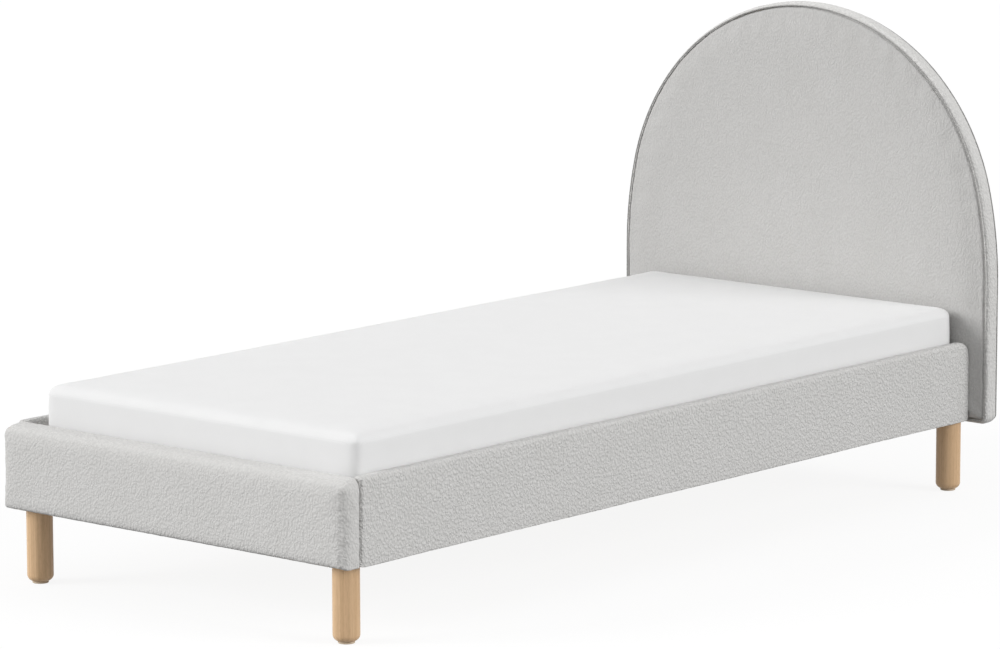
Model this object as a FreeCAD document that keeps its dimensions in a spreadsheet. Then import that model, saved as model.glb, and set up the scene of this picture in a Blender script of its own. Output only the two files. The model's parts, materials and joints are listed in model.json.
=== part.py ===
import FreeCAD, Part
import math
import os
import re
import Sketcher

# Upholstered single bed: an arched headboard, two padded side rails and a padded footboard on
# four turned legs, with a slatted base and a mattress that lifts out.
#
# Frame: X across the bed, Y from the footboard to the headboard, Z up, in millimetres. The origin
# lies on the floor, under the middle of the bed. Heights inside a rail, the footboard or the
# headboard are counted from their common lower edge, which is also the top of the legs.

SIZES = {
    "mattress_length": 1997,
    "mattress_width": 870,
    "mattress_thickness": 150,
    "mattress_corner_radius": 24,
    "ticking_thickness": 3,
    "mattress_side_gap": 17.5,
    "mattress_end_gap": 17.5,
    "soft_gap": 0.3,
    "leg_length": 154,
    "leg_diameter": 55,
    "leg_foot_radius": 14,
    "leg_inset_side": 50,
    "leg_inset_foot": 60,
    "leg_inset_side_head": 35,
    "leg_inset_head": 28,
    "glide_diameter": 34,
    "glide_height": 4,
    "rail_height": 180,
    "rail_padding": 5,
    "rail_board": 18,
    "rail_skin": 2,
    "rail_edge_radius": 7,
    "rail_end_radius": 30,
    "rail_return": 30,
    "footboard_padding": 12,
    "footboard_core": 34,
    "footboard_skin": 4,
    "footboard_end_padding": 8,
    "footboard_edge_radius": 14,
    "footboard_shoulder_radius": 22,
    "headboard_height": 902.5,
    "headboard_overhang": 38.5,
    "headboard_crown_inset": 10.5,
    "headboard_side_radius": 905,
    "headboard_foot_radius": 14,
    "headboard_front_pad": 12,
    "headboard_panel": 28,
    "headboard_back_pad": 12,
    "band_proud": 6.5,
    "band_setback": 6,
    "seam_gap": 3.3,
    "welt_width": 5,
    "slat_seat": 82,
    "slat_width": 70,
    "slat_thickness": 12,
    "slat_side_gap": 3,
    "slat_margin": 20,
    "slat_count": 15,
    "strap_width": 30,
    "strap_thickness": 1.2,
    "strap_offset": 55,
    "ledge_width": 25,
    "ledge_height": 30,
    "ledge_end_gap": 2,
    "block_width": 70,
    "block_length": 80,
    "block_corner_bevel": 12,
    "fastener_gap": 0.3,
    "bolt_diameter": 8,
    "bolt_head_width": 15,
    "bolt_head_height": 5.5,
    "bolt_bite": 24,
    "bolt_offset": 52,
    "insert_diameter": 13,
    "insert_length": 20,
    "insert_bore_depth": 28,
    "stud_diameter": 8,
    "stud_length": 40,
}

# Sizes that follow from the driving ones, as formulas in the sheet's names.
RAIL = "(rail_padding + rail_board + rail_skin)"
CLEAR_WIDTH = "(mattress_width + 2 * mattress_side_gap)"
CLEAR_LENGTH = "(mattress_length + 2 * mattress_end_gap)"
HALF_WIDTH = f"({CLEAR_WIDTH} / 2 + {RAIL})"
FOOTBOARD = "(footboard_padding + footboard_core + footboard_skin)"
HEADBOARD = "(headboard_front_pad + headboard_panel + headboard_back_pad)"
FOOT_FRONT = f"(-({FOOTBOARD} + {CLEAR_LENGTH} + {HEADBOARD}) / 2)"
FOOT_INNER = f"({FOOT_FRONT} + {FOOTBOARD})"
HEAD_FRONT = f"({FOOT_INNER} + {CLEAR_LENGTH})"
LOWER_EDGE = "(leg_length + glide_height)"
BLOCK_HEIGHT = "(slat_seat - ledge_height)"
SLAT_TOP = f"({LOWER_EDGE} + slat_seat + slat_thickness)"
BOARD_FACE = "(rail_padding + rail_board)"
BORE = "(bolt_diameter + 2 * fastener_gap)"
INSERT_BORE = "(insert_diameter + 2 * fastener_gap)"
STUD_BORE = "(stud_diameter + 2 * fastener_gap)"
HEAD_HALF = f"({HALF_WIDTH} + headboard_overhang)"
CROWN_RADIUS = f"({HEAD_HALF} - headboard_crown_inset)"
CROWN_CENTRE = f"(headboard_height - {CROWN_RADIUS})"
WELT_INSET = "(seam_gap - 2 * soft_gap - welt_width)"

SIDES = {"left": -1, "right": 1}
ENDS = ("front", "rear")
# +1 where a plane's sketch faces along the positive world axis, -1 where it faces backwards.
PLANE_FACING = {"XY_Plane": 1, "YZ_Plane": 1, "XZ_Plane": -1}
TURN_TO_AXIS = {
    "+x": FreeCAD.Rotation(FreeCAD.Vector(0, 1, 0), 90),
    "-x": FreeCAD.Rotation(FreeCAD.Vector(0, 1, 0), -90),
    "+y": FreeCAD.Rotation(FreeCAD.Vector(1, 0, 0), -90),
    "-y": FreeCAD.Rotation(FreeCAD.Vector(1, 0, 0), 90),
    "+z": FreeCAD.Rotation(),
    "-z": FreeCAD.Rotation(FreeCAD.Vector(1, 0, 0), 180),
}

doc = FreeCAD.newDocument("ArchedBed")
sub_parts = []


def write_sheet():
    """Fill the spreadsheet with one named row for each driving size."""
    table = doc.addObject("Spreadsheet::Sheet", "Sizes")
    for row, (alias, size) in enumerate(SIZES.items(), start=1):
        table.set(f"A{row}", alias)
        table.set(f"B{row}", str(size))
        table.setAlias(f"B{row}", alias)
    doc.recompute()
    return table


sheet = write_sheet()


def bound(formula):
    """Point each name in a formula at its cell in the sheet."""
    return re.sub("[a-z_]+", lambda word: f"Sizes.{word[0]}" if word[0] in SIZES else word[0], formula)


def number(formula):
    """Present value of a formula."""
    return float(sheet.evalExpression(bound(formula)))


# Sketches and features -----------------------------------------------------------------------

def new_body(label, x="0", y="0", z="0"):
    """Empty body whose origin is bound to the given place."""
    body = doc.addObject("PartDesign::Body", label)
    body.Label = label
    place(body, x, y, z)
    return body


def place(item, x, y, z, axis="+z"):
    """Bind an object's position, with its own Z turned to the named axis."""
    item.Placement = FreeCAD.Placement(FreeCAD.Vector(number(x), number(y), number(z)), TURN_TO_AXIS[axis])
    item.setExpression("Placement.Base.x", bound(x))
    item.setExpression("Placement.Base.y", bound(y))
    item.setExpression("Placement.Base.z", bound(z))


def new_sketch(body, plane, level="0"):
    """Sketch on one of the body's own planes, moved along the plane's world axis to a level."""
    sketch = body.newObject("Sketcher::SketchObject", body.Label + "_sketch")
    support = next(item for item in body.Origin.OriginFeatures if item.Role == plane)
    sketch.AttachmentSupport = [(support, "")]
    sketch.MapMode = "FlatFace"
    sketch.setExpression("AttachmentOffset.Base.z", bound(f"{PLANE_FACING[plane]} * ({level})"))
    return sketch


def fix_point(sketch, axis, geometry, point, formula):
    """Hold one coordinate of a sketch point at a formula's value."""
    held = Sketcher.Constraint(f"Distance{axis}", -1, 1, geometry, point, number(formula))
    sketch.setExpression(f"Constraints[{sketch.addConstraint(held)}]", bound(formula))


def fix_radius(sketch, geometry, formula):
    """Hold the radius of an arc or circle at a formula's value."""
    held = Sketcher.Constraint("Radius", geometry, number(formula))
    sketch.setExpression(f"Constraints[{sketch.addConstraint(held)}]", bound(formula))


def draw_rectangle(sketch, left, low, width, height, radii=("0", "0", "0", "0")):
    """Closed rectangle whose corners can be round.

    radii holds formulas for the lower left, lower right, upper right and upper left corners.
    """
    up = FreeCAD.Vector(0, 0, 1)
    right = f"({left} + {width})"
    high = f"({low} + {height})"
    x0, y0, x1, y1 = (number(edge) for edge in (left, low, right, high))
    r = [number(radius) for radius in radii]
    runs = (
        ((x0 + r[0], y0), (x1 - r[1], y0)),
        ((x1, y0 + r[1]), (x1, y1 - r[2])),
        ((x1 - r[2], y1), (x0 + r[3], y1)),
        ((x0, y1 - r[3]), (x0, y0 + r[0])),
    )
    centres = (
        (x1 - r[1], y0 + r[1]),
        (x1 - r[2], y1 - r[2]),
        (x0 + r[3], y1 - r[3]),
        (x0 + r[0], y0 + r[0]),
    )
    chain = []
    lines = []
    for side, (start, end) in enumerate(runs):
        line = Part.LineSegment(FreeCAD.Vector(*start, 0), FreeCAD.Vector(*end, 0))
        lines.append(sketch.addGeometry(line))
        chain.append(lines[-1])
        corner = (side + 1) % 4
        if r[corner] > 0:
            circle = Part.Circle(FreeCAD.Vector(*centres[side], 0), up, r[corner])
            first = math.radians(90 * side - 90)
            chain.append(sketch.addGeometry(Part.ArcOfCircle(circle, first, first + math.pi / 2)))
            fix_radius(sketch, chain[-1], radii[corner])
    join_chain(sketch, chain)
    for side, direction in enumerate(("Horizontal", "Vertical", "Horizontal", "Vertical")):
        sketch.addConstraint(Sketcher.Constraint(direction, lines[side]))
    fix_point(sketch, "Y", lines[0], 1, low)
    fix_point(sketch, "X", lines[1], 1, right)
    fix_point(sketch, "Y", lines[2], 1, high)
    fix_point(sketch, "X", lines[3], 1, left)


def join_chain(sketch, chain):
    """Join the ends of successive edges into a loop: smoothly at arcs, sharply between lines."""
    for first, second in zip(chain, chain[1:] + chain[:1]):
        arcs = [edge for edge in (first, second) if isinstance(sketch.Geometry[edge], Part.ArcOfCircle)]
        meeting = "Tangent" if arcs else "Coincident"
        sketch.addConstraint(Sketcher.Constraint(meeting, first, 2, second, 1))


def draw_polygon(sketch, points):
    """Closed polygon through the given pairs of formulas."""
    corners = [FreeCAD.Vector(number(x), number(y), 0) for x, y in points]
    ends = corners[1:] + corners[:1]
    lines = [sketch.addGeometry(Part.LineSegment(*line)) for line in zip(corners, ends)]
    join_chain(sketch, lines)
    for line, (x, y) in zip(lines, points):
        fix_point(sketch, "X", line, 1, x)
        fix_point(sketch, "Y", line, 1, y)


def draw_corner(sketch, side, edge, high, radius):
    """What a round upper corner takes off a square one, on the right (+1) or the left (-1)."""
    x, y, r = number(edge), number(high), number(radius)
    corner = FreeCAD.Vector(x, y, 0)
    start = FreeCAD.Vector(x - side * r, y, 0)
    end = FreeCAD.Vector(x, y - r, 0)
    circle = Part.Circle(FreeCAD.Vector(x - side * r, y - r, 0), FreeCAD.Vector(0, 0, 1), r)
    first = 0 if side > 0 else math.pi / 2
    top = sketch.addGeometry(Part.LineSegment(start, corner))
    upright = sketch.addGeometry(Part.LineSegment(corner, end))
    arc = sketch.addGeometry(Part.ArcOfCircle(circle, first, first + math.pi / 2))
    low_end, high_end = (1, 2) if side > 0 else (2, 1)
    sketch.addConstraint(Sketcher.Constraint("Coincident", top, 2, upright, 1))
    sketch.addConstraint(Sketcher.Constraint("Coincident", upright, 2, arc, low_end))
    sketch.addConstraint(Sketcher.Constraint("Coincident", arc, high_end, top, 1))
    sketch.addConstraint(Sketcher.Constraint("Horizontal", top))
    sketch.addConstraint(Sketcher.Constraint("Vertical", upright))
    fix_point(sketch, "X", upright, 1, edge)
    fix_point(sketch, "Y", upright, 1, high)
    fix_point(sketch, "Y", upright, 2, f"({high} - {radius})")
    centre = f"({edge} - {side} * {radius})"
    fix_point(sketch, "X", top, 1, centre)
    fix_point(sketch, "X", arc, 3, centre)


def draw_circles(sketch, centres, diameter):
    """Equal circles at the given pairs of formulas."""
    for x, y in centres:
        middle = FreeCAD.Vector(number(x), number(y), 0)
        circle = sketch.addGeometry(Part.Circle(middle, FreeCAD.Vector(0, 0, 1), number(diameter) / 2))
        fix_radius(sketch, circle, f"({diameter}) / 2")
        fix_point(sketch, "X", circle, 3, x)
        fix_point(sketch, "Y", circle, 3, y)


def draw_arch(sketch, inset):
    """Headboard outline, moved inwards by inset all round.

    A crown arc runs smoothly into two side arcs of larger radius, these into upright sides, and
    the sides into small round feet. Moving it inwards keeps every centre and changes the radii.
    """
    half = number(f"{HEAD_HALF} - ({inset})")
    crown = number(f"{CROWN_RADIUS} - ({inset})")
    side = number(f"headboard_side_radius - ({inset})")
    foot = number(f"headboard_foot_radius - ({inset})")
    low = number(inset)
    crown_height = number(CROWN_CENTRE)
    spring = crown_height - math.sqrt((side - crown) ** 2 - (side - half) ** 2)
    lean = math.atan2(crown_height - spring, side - half)
    normal = FreeCAD.Vector(0, 0, 1)

    def line(x0, y0, x1, y1):
        return Part.LineSegment(FreeCAD.Vector(x0, y0, 0), FreeCAD.Vector(x1, y1, 0))

    def arc(x, y, radius, first, last):
        return Part.ArcOfCircle(Part.Circle(FreeCAD.Vector(x, y, 0), normal, radius), first, last)

    edges = [sketch.addGeometry(edge) for edge in (
        line(foot - half, low, half - foot, low),
        arc(half - foot, low + foot, foot, -math.pi / 2, 0),
        line(half, low + foot, half, spring),
        arc(half - side, spring, side, 0, lean),
        arc(0, crown_height, crown, lean, math.pi - lean),
        arc(side - half, spring, side, math.pi - lean, math.pi),
        line(-half, spring, -half, low + foot),
        arc(foot - half, low + foot, foot, math.pi, 1.5 * math.pi),
    )]
    join_chain(sketch, edges)
    base, right_foot, right, right_side, top, left_side, left, left_foot = edges
    sketch.addConstraint(Sketcher.Constraint("Horizontal", base))
    sketch.addConstraint(Sketcher.Constraint("Vertical", right))
    sketch.addConstraint(Sketcher.Constraint("Vertical", left))
    fix_point(sketch, "Y", base, 1, inset)
    fix_point(sketch, "X", right, 1, f"{HEAD_HALF} - ({inset})")
    fix_point(sketch, "X", left, 1, f"({inset}) - {HEAD_HALF}")
    fix_point(sketch, "Y", top, 3, CROWN_CENTRE)
    fix_radius(sketch, top, f"{CROWN_RADIUS} - ({inset})")
    for edge in (right_side, left_side):
        fix_radius(sketch, edge, f"headboard_side_radius - ({inset})")
    for edge in (right_foot, left_foot):
        fix_radius(sketch, edge, f"headboard_foot_radius - ({inset})")
    fix_point(sketch, "X", top, 3, "0")


def pad(body, sketch, length, plane, direction=1):
    """Thicken a sketch towards the positive (+1) or negative (-1) world axis of its plane."""
    feature = body.newObject("PartDesign::Pad", body.Label + "_pad")
    feature.Profile = sketch
    feature.Reversed = direction * PLANE_FACING[plane] < 0
    feature.setExpression("Length", bound(length))
    doc.recompute()
    return feature


def pocket(body, sketch, depth, plane, direction=1):
    """Cut a sketch out towards the positive (+1) or negative (-1) world axis of its plane."""
    before = body.Tip.Shape.Volume
    feature = body.newObject("PartDesign::Pocket", body.Label + "_pocket")
    feature.Profile = sketch
    feature.Reversed = direction * PLANE_FACING[plane] > 0
    feature.setExpression("Length", bound(depth))
    doc.recompute()
    if not feature.Shape.Volume < before:
        raise ValueError(f"a pocket in {body.Label} cuts nothing")
    return feature


def drill(body, plane, level, centres, diameter, depth, direction=1):
    """Equal round holes, cut from a level towards the given direction of the plane's axis."""
    sketch = new_sketch(body, plane, level)
    draw_circles(sketch, centres, diameter)
    return pocket(body, sketch, depth, plane, direction)


def dress_edges(body, kind, size_name, size, test):
    """Fillet or chamfer the edges of the body's last feature for which test(edge) holds."""
    feature = body.Tip
    names = [f"Edge{index}" for index, edge in enumerate(feature.Shape.Edges, start=1) if test(edge)]
    if not names:
        raise ValueError(f"no edge to dress in {body.Label}")
    dressed = body.newObject(f"PartDesign::{kind}", f"{body.Label}_{kind.lower()}")
    dressed.Base = (feature, names)
    dressed.setExpression(size_name, bound(size))
    doc.recompute()
    return dressed


def lies_at(edge, **places):
    """True where an edge lies wholly in each named plane, such as x=0 or z=180."""
    box = edge.BoundBox
    near = 1e-4
    return all(
        abs(getattr(box, axis.upper() + limit) - level) < near
        for axis, level in places.items() for limit in ("Min", "Max")
    )


def keep(item):
    """Add a finished sub-part to those that are written out."""
    sub_parts.append(item)
    return item


# Repeated fittings ---------------------------------------------------------------------------

def primitive(kind, label, lift="0", **sizes):
    """Part primitive with each size bound to a formula, lifted along its own axis."""
    item = doc.addObject(f"Part::{kind}", label)
    for name, formula in sizes.items():
        item.setExpression(name, bound(formula))
    place(item, "0", "0", lift)
    return item


def union(label, items):
    """Fuse of several solids."""
    fused = doc.addObject("Part::MultiFuse", label)
    fused.Shapes = items
    return fused


def hollow(label, solid, tool):
    """One solid with another cut out of it."""
    cut = doc.addObject("Part::Cut", label)
    cut.Base = solid
    cut.Tool = tool
    return cut


def group(label, items):
    """Separate, identical solids held together as one sub-part."""
    compound = doc.addObject("Part::Compound", label)
    compound.Label = label
    compound.Links = items
    return keep(compound)


def hex_bolt(label, length):
    """Hexagon bolt: the seat of its head is at zero and the shank runs up."""
    shank = primitive("Cylinder", label + "_shank", Radius="bolt_diameter / 2", Height=length)
    head = primitive("Prism", label + "_head", "-bolt_head_height", Circumradius="bolt_head_width / 2",
                     Height="bolt_head_height")
    return union(label, [shank, head])


def insert_nut(label):
    """Sleeve nut for a wooden board: flush with the board at zero and running up into it."""
    sleeve = primitive("Cylinder", label + "_sleeve", Radius="insert_diameter / 2", Height="insert_length")
    bore = primitive("Cylinder", label + "_bore", "-1", Radius=f"{BORE} / 2", Height="insert_length + 2")
    return hollow(label, sleeve, bore)


# Places that several sub-parts share ---------------------------------------------------------

def corner_bolt_places():
    """Axes of the two bolts of an end, as X and height formulas."""
    across = f"({CLEAR_WIDTH} / 2 - bolt_offset)"
    return [(f"{side} * {across}", f"({BLOCK_HEIGHT} / 2)") for side in SIDES.values()]


def leg_inset(end):
    """Name of a leg's distance from the side of the bed; the rear pair stands further out."""
    return "leg_inset_side" if end == "front" else "leg_inset_side_head"


def leg_place(side, end):
    """X and Y formulas of a leg's axis."""
    y = f"({FOOT_FRONT} + leg_inset_foot)" if end == "front" else f"({HEAD_FRONT} - leg_inset_head)"
    return f"{side} * ({HALF_WIDTH} - {leg_inset(end)})", y


def leg_places():
    """Axes of the four legs."""
    return [leg_place(side, end) for side in SIDES.values() for end in ENDS]


def block_offset(end):
    """Distance of a corner block from the footboard's inner face."""
    return "0" if end == "front" else f"({CLEAR_LENGTH} - block_length)"


def slat_start(index):
    """Distance of a slat's nearer edge from the footboard's inner face."""
    pitch = f"(({CLEAR_LENGTH} - 2 * slat_margin - slat_width) / (slat_count - 1))"
    return f"(slat_margin + {index} * {pitch})"


# Side rails ----------------------------------------------------------------------------------

def rail_outline(sketch, inset, end_inset):
    """Side view of a rail, moved inwards: its upper corner at the headboard is round."""
    draw_rectangle(sketch, end_inset, inset, f"({CLEAR_LENGTH} - 2 * {end_inset})",
                   f"(rail_height - 2 * {inset})", ("0", "0", f"(rail_end_radius - {inset})", "0"))


def make_rail_board(name, side):
    """Plywood board of a side rail."""
    body = new_body(f"rail_board_{name}", f"{side} * {HALF_WIDTH}", FOOT_INNER, LOWER_EDGE)
    outline = new_sketch(body, "YZ_Plane", f"{-side} * rail_padding")
    rail_outline(outline, "rail_padding", "rail_skin")
    pad(body, outline, "rail_board", "YZ_Plane", -side)
    keep(body)


def make_rail_cover(name, side):
    """Foam-backed cover of a side rail: round the board, with a return on its inner side."""
    body = new_body(f"rail_cover_{name}", f"{side} * {HALF_WIDTH}", FOOT_INNER, LOWER_EDGE)
    section = new_sketch(body, "XZ_Plane")
    draw_rectangle(section, "0" if side < 0 else f"-{RAIL}", "0", RAIL, "rail_height",
                   ("rail_edge_radius",) * 4)
    pad(body, section, CLEAR_LENGTH, "XZ_Plane")
    corner = new_sketch(body, "YZ_Plane")
    draw_corner(corner, 1, CLEAR_LENGTH, "rail_height", "rail_end_radius")
    pocket(body, corner, RAIL, "YZ_Plane", -side)
    cavity = new_sketch(body, "YZ_Plane", f"{-side} * rail_padding")
    rail_outline(cavity, "rail_padding", "rail_skin")
    pocket(body, cavity, "rail_board", "YZ_Plane", -side)
    window = new_sketch(body, "YZ_Plane", f"{-side} * {BOARD_FACE}")
    draw_rectangle(window, "rail_skin", "rail_return", f"({CLEAR_LENGTH} - 2 * rail_skin)",
                   "(rail_height - 2 * rail_return)")
    pocket(body, window, "rail_skin", "YZ_Plane", -side)
    keep(body)


# Footboard -----------------------------------------------------------------------------------

def footboard_core_outline(sketch):
    """Front view of the footboard's core."""
    half = f"({HALF_WIDTH} - footboard_end_padding)"
    radius = "(footboard_shoulder_radius - footboard_end_padding)"
    draw_rectangle(sketch, f"-{half}", "footboard_skin", f"2 * {half}",
                   "(rail_height - footboard_skin - footboard_end_padding)", ("0", "0", radius, radius))


def make_footboard_core():
    """Solid core of the footboard, bored for the insert nuts of the corner bolts."""
    body = new_body("footboard_core", "0", FOOT_FRONT, LOWER_EDGE)
    outline = new_sketch(body, "XZ_Plane", "footboard_padding")
    footboard_core_outline(outline)
    pad(body, outline, "footboard_core", "XZ_Plane")
    inner_face = "(footboard_padding + footboard_core)"
    drill(body, "XZ_Plane", inner_face, corner_bolt_places(), INSERT_BORE, "insert_bore_depth", -1)
    keep(body)


def make_footboard_cover():
    """Foam-backed cover all round the footboard's core, rounded along its front edge."""
    body = new_body("footboard_cover", "0", FOOT_FRONT, LOWER_EDGE)
    outline = new_sketch(body, "XZ_Plane")
    draw_rectangle(outline, f"-{HALF_WIDTH}", "0", f"2 * {HALF_WIDTH}", "rail_height")
    pad(body, outline, FOOTBOARD, "XZ_Plane")
    dress_edges(body, "Fillet", "Radius", "footboard_edge_radius",
                lambda edge: lies_at(edge, y=0) and not lies_at(edge, z=0))
    shoulders = new_sketch(body, "XZ_Plane")
    for side in SIDES.values():
        draw_corner(shoulders, side, f"({side} * {HALF_WIDTH})", "rail_height", "footboard_shoulder_radius")
    pocket(body, shoulders, FOOTBOARD, "XZ_Plane")
    cavity = new_sketch(body, "XZ_Plane", "footboard_padding")
    footboard_core_outline(cavity)
    pocket(body, cavity, "footboard_core", "XZ_Plane")
    drill(body, "XZ_Plane", FOOTBOARD, corner_bolt_places(), BORE, "footboard_skin", -1)
    keep(body)


# Headboard -----------------------------------------------------------------------------------

def headboard_layer(label, inset, level, thickness):
    """Arched layer of the headboard, with its front face at a level behind the headboard's front."""
    body = new_body(label, "0", HEAD_FRONT, LOWER_EDGE)
    outline = new_sketch(body, "XZ_Plane", level)
    draw_arch(outline, inset)
    pad(body, outline, thickness, "XZ_Plane")
    return body


def make_headboard_panel():
    """Arched board that carries the upholstery, bored for the insert nuts of the corner bolts."""
    body = headboard_layer("headboard_panel", "seam_gap", "headboard_front_pad", "headboard_panel")
    front_face = "headboard_front_pad"
    drill(body, "XZ_Plane", front_face, corner_bolt_places(), INSERT_BORE, "insert_bore_depth")
    keep(body)


def make_headboard_pads():
    """Padded faces in front of and behind the panel."""
    front = headboard_layer("headboard_front_pad", "seam_gap", "0", "headboard_front_pad")
    drill(front, "XZ_Plane", "headboard_front_pad", corner_bolt_places(), BORE, "headboard_front_pad", -1)
    keep(front)
    level = "(headboard_front_pad + headboard_panel)"
    keep(headboard_layer("headboard_back_pad", "seam_gap", level, "headboard_back_pad"))


def headboard_ring(label, outside, inside, level, width):
    """Ring round the headboard between two insets of its outline."""
    body = new_body(label, "0", HEAD_FRONT, LOWER_EDGE)
    outline = new_sketch(body, "XZ_Plane", level)
    draw_arch(outline, outside)
    draw_arch(outline, inside)
    pad(body, outline, width, "XZ_Plane")
    keep(body)


def make_headboard_edge():
    """Padded band round the headboard's edge, and the welt in the seam on each side of it."""
    headboard_ring("headboard_side_band", "(-band_proud)", "(seam_gap - soft_gap)", "band_setback",
                   f"({HEADBOARD} - 2 * band_setback)")
    front = "(band_setback - soft_gap - welt_width)"
    back = f"({HEADBOARD} - band_setback + soft_gap)"
    for name, level in (("front", front), ("back", back)):
        headboard_ring(f"headboard_{name}_welt", WELT_INSET, f"({WELT_INSET} + welt_width)", level,
                       "welt_width")


# Legs and corner blocks ----------------------------------------------------------------------

def make_corner_block(side_name, side, end):
    """Wooden block in a corner: glued to the rail, bolted to the end, with the leg below it."""
    body = new_body(f"corner_block_{end}_{side_name}", f"{side} * {CLEAR_WIDTH} / 2",
                    f"({FOOT_INNER} + {block_offset(end)})", LOWER_EDGE)
    outline = new_sketch(body, "XY_Plane")
    draw_rectangle(outline, "-block_width" if side > 0 else "0", "0", "block_width", "block_length")
    pad(body, outline, BLOCK_HEIGHT, "XY_Plane")
    free_x = -side * number("block_width")
    free_y = number("block_length") if end == "front" else 0
    dress_edges(body, "Chamfer", "Size", "block_corner_bevel", lambda edge: lies_at(edge, x=free_x, y=free_y))
    bolt = (f"{-side} * bolt_offset", f"({BLOCK_HEIGHT} / 2)")
    drill(body, "XZ_Plane", "0", [bolt], BORE, "block_length")
    stud = (f"{-side} * ({leg_inset(end)} - {RAIL})",
            f"(leg_inset_foot - {FOOTBOARD})" if end == "front" else "(block_length - leg_inset_head)")
    drill(body, "XY_Plane", "0", [stud], STUD_BORE, "(stud_length + fastener_gap)")
    keep(body)


def make_leg(side_name, side, end):
    """Turned leg with its stud: a plain cylinder whose foot is rounded in two bevels."""
    x, y = leg_place(side, end)
    body = new_body(f"leg_{end}_{side_name}", x, y, "glide_height")
    radius = "(leg_diameter / 2)"
    tip = "(leg_length + stud_length)"
    midway = "(leg_foot_radius * (1 - sqrt(0.5)))"
    profile = new_sketch(body, "XZ_Plane")
    draw_polygon(profile, [
        ("0", "0"),
        (f"({radius} - leg_foot_radius)", "0"),
        (f"({radius} - {midway})", midway),
        (radius, "leg_foot_radius"),
        (radius, "leg_length"),
        ("(stud_diameter / 2)", "leg_length"),
        ("(stud_diameter / 2)", tip),
        ("0", tip),
    ])
    turned = body.newObject("PartDesign::Revolution", body.Label + "_turned")
    turned.Profile = profile
    turned.ReferenceAxis = (profile, ["V_Axis"])
    turned.Angle = 360
    doc.recompute()
    keep(body)


def make_glides():
    """Round glides on the legs' soles."""
    glides = []
    for index, (x, y) in enumerate(leg_places()):
        glides.append(primitive("Cylinder", f"glide_{index}", Radius="glide_diameter / 2",
                                Height="glide_height"))
        place(glides[-1], x, y, "0")
    group("glides", glides)


# Slatted base --------------------------------------------------------------------------------

def make_ledge(name, side):
    """Batten along a rail, resting on the corner blocks, which carries the slats' ends."""
    body = new_body(f"slat_ledge_{name}", f"{side} * ({HALF_WIDTH} - {BOARD_FACE})",
                    f"{FOOT_INNER} + ledge_end_gap", f"{LOWER_EDGE} + {BLOCK_HEIGHT}")
    outline = new_sketch(body, "XY_Plane")
    draw_rectangle(outline, "-ledge_width" if side > 0 else "0", "0", "ledge_width",
                   f"({CLEAR_LENGTH} - 2 * ledge_end_gap)")
    pad(body, outline, "ledge_height", "XY_Plane")
    keep(body)


def make_slat(index):
    """Pine slat."""
    body = new_body(f"slat_{index + 1:02d}", "0", f"({FOOT_INNER} + {slat_start(index)})",
                    f"({LOWER_EDGE} + slat_seat)")
    half_length = f"({CLEAR_WIDTH} / 2 - slat_side_gap)"
    section = new_sketch(body, "YZ_Plane", f"(-{half_length})")
    draw_rectangle(section, "0", "0", "slat_width", "slat_thickness")
    pad(body, section, f"(2 * {half_length})", "YZ_Plane")
    keep(body)


def make_strap(name, side):
    """Webbing strap under the slats that keeps them evenly spaced."""
    body = new_body(f"slat_strap_{name}", f"{side} * ({CLEAR_WIDTH} / 2 - strap_offset)",
                    f"{FOOT_INNER} + slat_margin", f"{LOWER_EDGE} + slat_seat - strap_thickness")
    outline = new_sketch(body, "XY_Plane")
    draw_rectangle(outline, "(-strap_width / 2)", "0", "strap_width", f"({CLEAR_LENGTH} - 2 * slat_margin)")
    pad(body, outline, "strap_thickness", "XY_Plane")
    keep(body)


# Bolts ---------------------------------------------------------------------------------------

def make_end_bolts(end):
    """Bolts through the corner blocks into an end, and the insert nuts that hold them."""
    if end == "front":
        label, axis = "footboard", "-y"
        seat = f"({FOOT_INNER} + block_length)"
        nut_seat = f"({FOOT_INNER} - footboard_skin)"
        length = "(block_length + footboard_skin + bolt_bite)"
    else:
        label, axis = "headboard", "+y"
        seat = f"({HEAD_FRONT} - block_length)"
        nut_seat = f"({HEAD_FRONT} + headboard_front_pad)"
        length = "(block_length + headboard_front_pad + bolt_bite)"
    bolts = []
    nuts = []
    for index, (x, height) in enumerate(corner_bolt_places()):
        bolts.append(hex_bolt(f"{label}_bolt_{index}", length))
        place(bolts[-1], x, seat, f"({LOWER_EDGE} + {height})", axis)
        nuts.append(insert_nut(f"{label}_nut_{index}"))
        place(nuts[-1], x, nut_seat, f"({LOWER_EDGE} + {height})", axis)
    group(f"{label}_bolts", bolts)
    group(f"{label}_insert_nuts", nuts)


# Mattress ------------------------------------------------------------------------------------

def mattress_block(label, inset):
    """Block with round upright corners, moved inwards all round."""
    body = new_body(label, "0", f"{FOOT_INNER} + mattress_end_gap", f"({SLAT_TOP} + soft_gap)")
    outline = new_sketch(body, "XY_Plane", inset)
    draw_rectangle(outline, f"({inset} - mattress_width / 2)", inset, f"(mattress_width - 2 * {inset})",
                   f"(mattress_length - 2 * {inset})", (f"(mattress_corner_radius - {inset})",) * 4)
    pad(body, outline, f"(mattress_thickness - 2 * {inset})", "XY_Plane")
    return body


def make_mattress():
    """Foam core, and the cover that fits closely round it."""
    core = keep(mattress_block("mattress_core", "ticking_thickness"))
    keep(hollow("mattress_cover", mattress_block("mattress_cover_outside", "0"), core))


# Building and writing ------------------------------------------------------------------------

def check_document():
    """Stop if any object failed, or any sub-part is empty or not valid."""
    doc.recompute()
    for item in doc.Objects:
        if {"Invalid", "Error"} & set(item.State):
            raise ValueError(f"{item.Label} failed: {item.State}")
    for item in sub_parts:
        if item.Shape.isNull() or not item.Shape.isValid():
            raise ValueError(f"{item.Label} has no valid shape")


def write_parts():
    """Write each sub-part to a file named after it."""
    os.makedirs("parts", exist_ok=True)
    for item in sub_parts:
        item.Shape.exportStep(f"parts/{item.Label}.step")


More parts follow.
